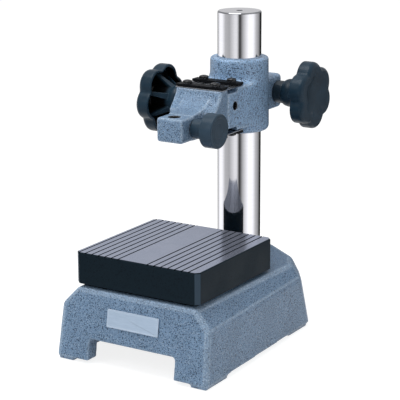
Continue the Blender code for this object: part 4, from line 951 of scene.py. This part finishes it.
def make_machined(name, slot, node, width, finish=None):
    """A CAD node's own shape, with each sharp edge broken by a narrow bevel."""
    shape = welded_copy(node)
    sharp = [e for e in shape.edges if len(e.link_faces) == 2 and e.calc_face_angle(0) > SHARP_LIMIT]
    bevel_edges(shape, sharp, width, 2, clamp_overlap=True)
    make_piece(name, shape, slot, node, finish)


make_machined("lapped_anvil", "lapped_black_steel", "anvil", 0.18 * MM)
for level_name in ("top", "bottom"):
    for row in ("front", "rear"):
        plate = f"{level_name}_{row}_plate"
        make_machined("blackened_" + plate, "black_oxide_steel", plate, 0.22 * MM)
make_machined("turned_thrust_collar", "black_oxide_steel", "clamp_thrust_collar", 0.4 * MM, BLUED_STEEL)
make_machined("turned_bush", "bearing_bronze", "fine_adjust_bush", 0.3 * MM)
make_machined("turned_clamp_screw", "bright_steel", "clamp_screw", 0.25 * MM)

# %% [markdown]
# ## The column
#
# A mirror shows every facet, so the column gets a finer turning than its solid. A lathe profile
# is drawn as a few points, and spin carries it round the axis. The top has a chamfer and the
# centre hole from grinding between centres.

# %% Turn the column
TO_X = Matrix.Rotation(math.pi / 2, 3, "Y")


def turned(points, steps, centre, turn=Matrix.Identity(3)):
    """A closed bmesh from a profile of (radius, height) points, spun, turned and moved to a centre."""
    shape = bmesh.new()
    verts = [shape.verts.new((radius, 0, height)) for radius, height in points]
    edges = [shape.edges.new(pair) for pair in zip(verts, verts[1:])]
    bmesh.ops.spin(shape, geom=verts + edges, cent=(0, 0, 0), axis=(0, 0, 1), angle=2 * math.pi, steps=steps,
                   use_merge=True)
    bmesh.ops.remove_doubles(shape, verts=shape.verts, dist=WELD)
    bmesh.ops.recalc_face_normals(shape, faces=shape.faces)
    bmesh.ops.rotate(shape, cent=(0, 0, 0), matrix=turn, verts=shape.verts)
    bmesh.ops.translate(shape, verts=shape.verts, vec=centre)
    return shape


def rounded(corner, radius, start, end, steps):
    """Points on an arc of a small radius, from one angle to another, about a centre."""
    angles = [math.radians(start + (end - start) * i / steps) for i in range(steps + 1)]
    return [(corner[0] + radius * math.cos(a), corner[1] + radius * math.sin(a)) for a in angles]


BREAK_EDGE = 0.2 * MM
CHAMFER = 0.8 * MM
CENTRE_DRILLING = ((0, 3.4), (0.9, 3.4), (2.3, 0.5), (2.6, 0))
BOLT_BORE = 5.3 * MM
BOLT_BORE_DEPTH = 22 * MM


def make_column():
    """The chromed column, from its centre hole down to the end in the base."""
    low, high, radius = COLUMN_LOW.z, COLUMN_HIGH.z, COLUMN_RADIUS
    top = [(across * MM, high - deep * MM) for across, deep in CENTRE_DRILLING]
    top += [(radius - CHAMFER - BREAK_EDGE, high)]
    top += rounded((radius - CHAMFER, high - BREAK_EDGE), BREAK_EDGE, 90, 45, 3)
    top += rounded((radius - BREAK_EDGE, high - CHAMFER), BREAK_EDGE, 45, 0, 3)
    bottom = [(radius, low + CHAMFER), (radius - CHAMFER, low), (BOLT_BORE, low),
              (BOLT_BORE, low + BOLT_BORE_DEPTH), (0, low + BOLT_BORE_DEPTH)]
    shape = turned(top + bottom, 180, (COLUMN_MIDDLE.x, COLUMN_MIDDLE.y, 0))
    make_piece("chromed_column", shape, "ground_chrome", "column", sharp=20)


make_column()

# %% [markdown]
# ## The lobed knobs
#
# Two knobs have six round lobes with a narrow valley between each two, a face like a shallow
# bowl, and a hollow back with a barrel hub and ribs. The section is spun like any turned part,
# and then each point is drawn in towards the axis by a share that depends on its angle, which
# turns circles into lobes. The share fades out towards the hub, so that the bore stays round.
# Six ribs are made apart and set into the hollow, each sloping from the hub to the rim's foot.

# %% Measure the lobed knobs
KNOB_RADIUS = 27.3 * MM
KNOB_LENGTH = 28.6 * MM
KNOB_RIM = 12 * MM
KNOB_WALL = 2.6 * MM
KNOB_FACE = 3.6 * MM
KNOB_CREASE = 18.5 * MM
KNOB_BOWL = 2.4 * MM
KNOB_EDGE = 4.2 * MM
KNOB_LIP = 1.25 * MM
LOBES = 6
LOBE_RADIUS = 11.7 * MM
VALLEY_BLEND = math.radians(3)
HUB_RADIUS = 10.6 * MM
HUB_BARREL = ((10.6, 8.5), (11.1, 6.4), (11.4, 4.2), (11.1, 2.8), (10.6, 1.4), (9.8, 0.2), (9.4, 0))
KNOB_BORE = 5.3 * MM
KNOB_BORE_DEPTH = 17 * MM


def lobe_share(angle, radius):
    """How far a point is drawn in towards the axis, so that a circle gets round lobes."""
    half = math.pi / LOBES
    from_valley = half - abs((angle + half) % (2 * half) - half)
    turn = half - math.hypot(from_valley, VALLEY_BLEND)
    reach = KNOB_RADIUS - LOBE_RADIUS
    edge = reach * math.cos(turn) + math.sqrt(LOBE_RADIUS ** 2 - (reach * math.sin(turn)) ** 2)
    fade = min(max((radius - HUB_RADIUS) / (KNOB_CREASE - HUB_RADIUS), 0), 1)
    return 1 + fade * (edge / KNOB_RADIUS - 1)


def knob_section():
    """Half the section of a lobed knob, from the middle of its face round to the bore's floor."""
    length, rim = KNOB_LENGTH, KNOB_LENGTH - KNOB_RIM
    inner = KNOB_RADIUS - KNOB_WALL
    floor = length - KNOB_FACE
    face = [(KNOB_CREASE * i / 8, length - KNOB_BOWL * (1 - (i / 8) ** 2)) for i in range(8)]
    face += [(KNOB_CREASE - 0.4 * MM, length - 0.06 * MM), (KNOB_CREASE + 0.5 * MM, length)]
    edge = rounded((KNOB_RADIUS - KNOB_EDGE, length - KNOB_EDGE), KNOB_EDGE, 90, 0, 8)
    lip = rounded((KNOB_RADIUS - KNOB_LIP, rim + KNOB_LIP), KNOB_LIP, 0, -90, 4)
    lip += rounded((inner + KNOB_LIP, rim + KNOB_LIP), KNOB_LIP, -90, -180, 4)
    well = [(inner, floor - 2 * MM), (inner - 0.6 * MM, floor - 0.6 * MM), (inner - 2 * MM, floor),
            (HUB_RADIUS + MM, floor), (HUB_RADIUS, floor - MM)]
    hub = [(radius * MM, height * MM) for radius, height in HUB_BARREL]
    bore = [(KNOB_BORE, 0), (KNOB_BORE, KNOB_BORE_DEPTH), (0, KNOB_BORE_DEPTH)]
    return face + edge + lip + well + hub + bore


print("lobe share in a valley:", round(lobe_share(math.pi / LOBES, KNOB_RADIUS), 3))


# %% Mould the lobed knobs
RIB_START = 6.6 * MM
RIB_RISE = 2.6 * MM
RIB_THICK = 2.6 * MM
RIB_THIN = 0.9 * MM
RIB_BREAK = 0.45 * MM
RIB_HUB = HUB_RADIUS - MM
RIB_RIM = (KNOB_RADIUS - KNOB_WALL / 2) * lobe_share(math.pi / LOBES, KNOB_RADIUS)
RIB_FLOOR = KNOB_LENGTH - KNOB_FACE / 2


def rib_edge(radius):
    """The height of a rib's outer edge at a radius: it slopes from the hub down to the rim's foot."""
    return RIB_START + (RIB_FLOOR - RIB_RISE - RIB_START) * (radius - RIB_HUB) / (RIB_RIM - RIB_HUB)


def make_ribs(phase):
    """Six ribs, thick at the hub and thin at the rim, one at each valley."""
    ribs = bmesh.new()
    outline = ((RIB_HUB, RIB_FLOOR), (RIB_RIM, RIB_FLOOR), (RIB_RIM, RIB_FLOOR - RIB_RISE), (RIB_HUB, RIB_START))
    for index in range(LOBES):
        start = [ribs.verts.new((x, -RIB_THICK if x == RIB_HUB else -RIB_THIN, z)) for x, z in outline]
        wall = bmesh.ops.extrude_face_region(ribs, geom=[ribs.faces.new(start)])["geom"]
        moved = [v for v in wall if isinstance(v, bmesh.types.BMVert)]
        bmesh.ops.scale(ribs, vec=(1, -1, 1), verts=moved)
        angle = phase + (index + 0.5) * 2 * math.pi / LOBES
        bmesh.ops.rotate(ribs, cent=(0, 0, 0), matrix=Matrix.Rotation(angle, 3, "Z"), verts=start + moved)
    bevel_edges(ribs, list(ribs.edges), RIB_BREAK, 2)
    bmesh.ops.recalc_face_normals(ribs, faces=ribs.faces)
    mesh = bpy.data.meshes.new("ribs")
    ribs.to_mesh(mesh)
    ribs.free()
    return mesh


def draw_lobes(shape, phase):
    """Draws a turned bmesh in to lobes, and turns it so that they stand as they do at rest."""
    for vert in shape.verts:
        share = lobe_share(math.atan2(vert.co.y, vert.co.x), math.hypot(vert.co.x, vert.co.y))
        vert.co.x *= share
        vert.co.y *= share
    bmesh.ops.rotate(shape, cent=(0, 0, 0), matrix=Matrix.Rotation(phase, 3, "Z"), verts=shape.verts)


def mark_hollow(shape, inside, phase):
    """Notes on each moulded point how far inside the knob's hollow it is."""
    for vert in shape.verts:
        radius = math.hypot(vert.co.x, vert.co.y)
        share = lobe_share(math.atan2(vert.co.y, vert.co.x) - phase, KNOB_RADIUS)
        hollow = HUB_RADIUS - 0.1 * MM < radius < (KNOB_RADIUS - KNOB_WALL + 0.3 * MM) * share
        deep = (vert.co.z - KNOB_LENGTH + KNOB_RIM - MM) / (1.5 * MM)
        under = vert.co.z < KNOB_LENGTH - KNOB_FACE + 0.1 * MM
        vert[inside] = min(max(deep, 0), 1) if hollow and under else 0


def make_lobed_knob(name, node, start, axis, degrees):
    """A lobed knob with its hub's end at a point, reaching out along X or, for an axis of -1, against it."""
    phase = math.radians(degrees)
    shape = turned(knob_section(), 180, (0, 0, 0))
    draw_lobes(shape, phase)
    # The hollow's points are marked for painted shade, which makes the plastic nearly black there.
    inside = shape.verts.layers.float.new(HOLLOW_SHADE)
    mark_hollow(shape, inside, phase)
    moulded = set(shape.verts)
    shape.from_mesh(make_ribs(phase))
    for vert in shape.verts:
        if vert not in moulded:
            vert[inside] = 1 if vert.co.z > rib_edge(math.hypot(vert.co.x, vert.co.y)) + MM else 0
    turn = Matrix.Rotation(axis * math.pi / 2, 3, "Y")
    bmesh.ops.rotate(shape, cent=(0, 0, 0), matrix=turn, verts=shape.verts)
    bmesh.ops.translate(shape, verts=shape.verts, vec=start)
    make_piece(name, shape, "knob_plastic", node, sharp=40)


CLAMP_AXIS = middle_of("clamp_screw")
clamp_start = (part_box("clamp_knob")[0].x, CLAMP_AXIS.y, CLAMP_AXIS.z)
fine_start = (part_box("fine_adjust_knob")[1].x, FINE_AXIS.y, FINE_AXIS.z)
make_lobed_knob("moulded_clamp_knob", "clamp_knob", clamp_start, 1, 5.9)
make_lobed_knob("moulded_fine_knob", "fine_adjust_knob", fine_start, -1, 19.6)

# %% [markdown]
# ## The stem clamp's knob
#
# The small knob at the holder's side is a plain turned shape: a hub, a disc with broken edges, and
# a face sunk in a shallow dish with one ring in it. Its section is drawn from the middle of the
# face round to the floor of its bore, with a small radius at each edge of the disc.

# %% Turn the small knob
DISH_AND_RING = ((0, 0.75), (5.2, 0.7), (5.6, 0.95), (6.2, 0.95), (6.6, 0.65), (9.6, 0.55), (10.1, 0.35),
                 (10.9, 0.02), (11.3, 0))
DISC_START = 11.3 * MM
DISC_EDGE = 1.1 * MM
DISC_LOWER_EDGE = 0.9 * MM
NECK_RADIUS = 7.6 * MM
STEM_KNOB_BORE = 3.3 * MM
STEM_KNOB_BORE_DEPTH = 14.3 * MM


def make_small_knob():
    """The stem clamp's knob, with a shallow dish and rings on its face."""
    low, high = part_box("stem_clamp_knob")
    middle, radius, length = (low + high) / 2, (high.y - low.y) / 2, high.x - low.x
    face = [(across * MM, length - deep * MM) for across, deep in DISH_AND_RING]
    edge = rounded((radius - DISC_EDGE, length - DISC_EDGE), DISC_EDGE, 90, 0, 6)
    lower = rounded((radius - DISC_LOWER_EDGE, DISC_START + DISC_LOWER_EDGE), DISC_LOWER_EDGE, 0, -90, 4)
    neck = [(NECK_RADIUS + 0.6 * MM, DISC_START), (NECK_RADIUS, DISC_START - 0.6 * MM), (NECK_RADIUS, 0.5 * MM),
            (NECK_RADIUS - 0.5 * MM, 0)]
    bore = [(STEM_KNOB_BORE, 0), (STEM_KNOB_BORE, STEM_KNOB_BORE_DEPTH), (0, STEM_KNOB_BORE_DEPTH)]
    shape = turned(face + edge + lower + neck + bore, 96, (low.x, middle.y, middle.z), TO_X)
    make_piece("moulded_stem_knob", shape, "knob_plastic", "stem_clamp_knob", SMALL_PLASTIC_WITH_PAINTED_LIGHT, sharp=40)


make_small_knob()

# %% [markdown]
# ## Cross-head screws
#
# Eight pan-head screws hold the leaf springs' plates. The head is a flattened dome with a cross
# recess whose four wings taper towards a point. The recess is cut by two crossed wedges with an
# exact Boolean, once, and the finished mesh is copied to all eight places.

# %% Make one cross-head screw
HEAD_RADIUS = 3.8 * MM
HEAD_HEIGHT = 2.8 * MM
SHANK_RADIUS = 2 * MM
SHANK_LENGTH = 12.2 * MM
SHANK_POINT = 0.6 * MM
WING_WIDTH = 1.15 * MM
WING_LENGTH = 4.6 * MM
WING_HEIGHT = 3 * MM


def make_wedge(width, length, top):
    """A blade that is widest and longest at the top, and tapers down to the recess's floor."""
    blade = bmesh.new()
    bmesh.ops.create_cube(blade, size=1)
    bmesh.ops.scale(blade, vec=(length, width, WING_HEIGHT), verts=blade.verts)
    for vert in blade.verts:
        if vert.co.z < 0:
            vert.co.x *= 0.45
            vert.co.y *= 0.6
    bmesh.ops.translate(blade, verts=blade.verts, vec=(0, 0, top))
    return blade


def make_cross_screw():
    """A pan-head screw along +Z, with its head's underside at height 0."""
    dome = [(HEAD_RADIUS * math.sin(math.radians(a)), HEAD_HEIGHT * (0.55 + 0.45 * math.cos(math.radians(a))))
            for a in (0, 10, 20, 30, 40, 50, 60, 70, 80)]
    side = [(HEAD_RADIUS, 0.52 * HEAD_HEIGHT), (HEAD_RADIUS, 0.3 * MM), (HEAD_RADIUS - 0.3 * MM, 0)]
    shank = [(SHANK_RADIUS, 0), (SHANK_RADIUS, -SHANK_LENGTH + SHANK_POINT),
             (SHANK_RADIUS - SHANK_POINT, -SHANK_LENGTH), (0, -SHANK_LENGTH)]
    screw = to_object("screw_pattern", turned(dome + side + shank, 48, (0, 0, 0)), BLACK_HEADS)
    cross = make_wedge(WING_WIDTH, WING_LENGTH, HEAD_HEIGHT)
    half = bpy.data.meshes.new("wedge")
    cross.to_mesh(half)
    cross.free()
    cutters = []
    for turn in (0, math.pi / 2):
        cutter = bpy.data.objects.new(f"wedge_{len(cutters)}", half.copy())
        cutter.data.transform(Matrix.Rotation(turn, 4, "Z"))
        bpy.context.scene.collection.objects.link(cutter)
        cut = screw.modifiers.new("cross", "BOOLEAN")
        cut.operation = "DIFFERENCE"
        cut.solver = "EXACT"
        cut.object = cutter
        cutters.append(cutter)
    apply_modifiers(screw)
    mesh = screw.data
    for spare in (screw, *cutters):
        bpy.data.objects.remove(spare, do_unlink=True)
    return mesh


def place_cross_screws(pattern):
    """One screw for each of the eight plate screws, each turned to its own angle."""
    turns = {"top_front_left": 20, "top_front_right": 65, "top_rear_left": 40, "top_rear_right": 5,
             "bottom_front_left": 50, "bottom_front_right": 10, "bottom_rear_left": 75, "bottom_rear_right": 30}
    for place, degrees in turns.items():
        node = "plate_screw_" + place
        low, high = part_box(node)
        middle = (low + high) / 2
        upper = place.startswith("top")
        under_head = high.z - HEAD_HEIGHT if upper else low.z + HEAD_HEIGHT
        shape = bmesh.new()
        shape.from_mesh(pattern)
        tilt = Matrix.Rotation(0 if upper else math.pi, 3, "X") @ Matrix.Rotation(math.radians(degrees), 3, "Z")
        bmesh.ops.rotate(shape, cent=(0, 0, 0), matrix=tilt, verts=shape.verts)
        bmesh.ops.translate(shape, verts=shape.verts, vec=(middle.x, middle.y, under_head))
        make_piece("cross_screw_" + place, shape, "black_oxide_steel", node, BLACK_HEADS, sharp=30)


place_cross_screws(make_cross_screw())

# %% [markdown]
# ## Leaf springs
#
# Two strips of spring steel join the holder to the arm, and bend a little as the fine adjustment
# lifts the holder.

# %% Cut and blend the leaf springs
LEAF_LENGTHS = 12


def make_leaf(level_name):
    """One leaf spring that bends between the arm and the holder."""
    node = level_name + "_leaf_spring"
    shape = welded_copy(node)
    low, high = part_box(node)
    front_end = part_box(level_name + "_front_plate")[1].y
    rear_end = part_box(level_name + "_rear_plate")[0].y
    for index in range(LEAF_LENGTHS + 1):
        y = front_end + (rear_end - front_end) * index / LEAF_LENGTHS
        bmesh.ops.bisect_plane(shape, geom=shape.verts[:] + shape.edges[:] + shape.faces[:], dist=WELD,
                               plane_co=(0, y, 0), plane_no=(0, 1, 0))
    piece = to_object("rolled_" + node, shape, SPRING_STEEL)
    middle = (low.z + high.z) / 2
    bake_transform(piece, "arm", "holder", start=(0, rear_end, middle), end=(0, front_end, middle))
    settle(piece, node)


make_leaf("top")
make_leaf("bottom")

# %% [markdown]
# ## The name plate
#
# The plate is stamped from thin sheet: round corners, an edge that rolls over, and a shallow
# border pressed into its face. It stays bare. A cube is scaled to the plate's size, its corners
# and front edge are bevelled, and the face is inset and pushed back for the border.

# %% Stamp the name plate
PLATE_CORNER = 0.9 * MM
PLATE_ROLL = 0.25 * MM
BORDER_WIDTH = 0.75 * MM
BORDER_SLOPE = 0.15 * MM
BORDER_DEPTH = 0.08 * MM


def make_name_plate():
    """The bare plate on the base's sloping front."""
    source = welded_copy("name_plate")
    front = min(source.faces, key=lambda f: f.normal.y - f.calc_area())
    normal = front.normal.copy()
    across = Vector((1, 0, 0))
    rise = normal.cross(across).normalized()
    if rise.z < 0:
        rise = -rise
    middle = sum((v.co for v in source.verts), Vector()) / len(source.verts)
    spans = [[(v.co - middle).dot(axis) for v in source.verts] for axis in (across, rise, normal)]
    width, height, depth = (max(s) - min(s) for s in spans)
    source.free()
    shape = bmesh.new()
    bmesh.ops.create_cube(shape, size=1)
    bmesh.ops.scale(shape, vec=(width, height, depth), verts=shape.verts)
    corners = [e for e in shape.edges if abs(e.verts[0].co.z - e.verts[1].co.z) > depth / 2]
    bevel_edges(shape, corners, PLATE_CORNER, 5)
    face = max(shape.faces, key=lambda f: f.normal.z * f.calc_area())
    bevel_edges(shape, list(face.edges), PLATE_ROLL, 3)
    face = max(shape.faces, key=lambda f: f.normal.z * f.calc_area())
    bmesh.ops.inset_individual(shape, faces=[face], thickness=BORDER_WIDTH, depth=0)
    bmesh.ops.inset_individual(shape, faces=[face], thickness=BORDER_SLOPE, depth=-BORDER_DEPTH)
    place = Matrix((across, rise, normal)).transposed().to_4x4()
    place.translation = middle
    bmesh.ops.transform(shape, matrix=place, verts=shape.verts)
    if place.determinant() < 0:
        bmesh.ops.reverse_faces(shape, faces=shape.faces)
    make_piece("stamped_name_plate", shape, "name_plate_metal", "name_plate", sharp=25)


make_name_plate()

# %% [markdown]
# ## The frame's own nodes
#
# What is left keeps its CAD mesh: screws under the base, the shaft, the cotters and other parts
# that are mostly out of sight. Each gets the finish of its slot, so that no grey shows where
# somebody looks underneath. The shaft is the exception: its slot is bright steel, and here it is
# black like the screws, as painted shade for the hole where its end shows.

# %% Dress the nodes that stay
KEPT = {
    "anvil_screw_front_left": BLACK_OXIDE, "anvil_screw_front_right": BLACK_OXIDE,
    "anvil_screw_rear_left": BLACK_OXIDE, "anvil_screw_rear_right": BLACK_OXIDE,
    "column_bolt": BLACK_OXIDE, "column_washer": BRIGHT_STEEL, "fine_knob_grub_screw": BLACK_OXIDE,
    # fine_adjust_shaft is black as painted shade for the hole where its end shows.
    "fine_adjust_shaft": BLACK_OXIDE, "shaft_retaining_ring": SPRING_STEEL,
    "stem_cotter_stud": BRIGHT_STEEL, "stem_cotter_sleeve": BRIGHT_STEEL,
}
for node, finish in KEPT.items():
    materials = NODES[node].data.materials
    materials.clear()
    materials.append(finish)
bare = [n for n, o in NODES.items() if not o.hide_render and n not in KEPT]
print("kept:", len(KEPT), "still bare:", bare)
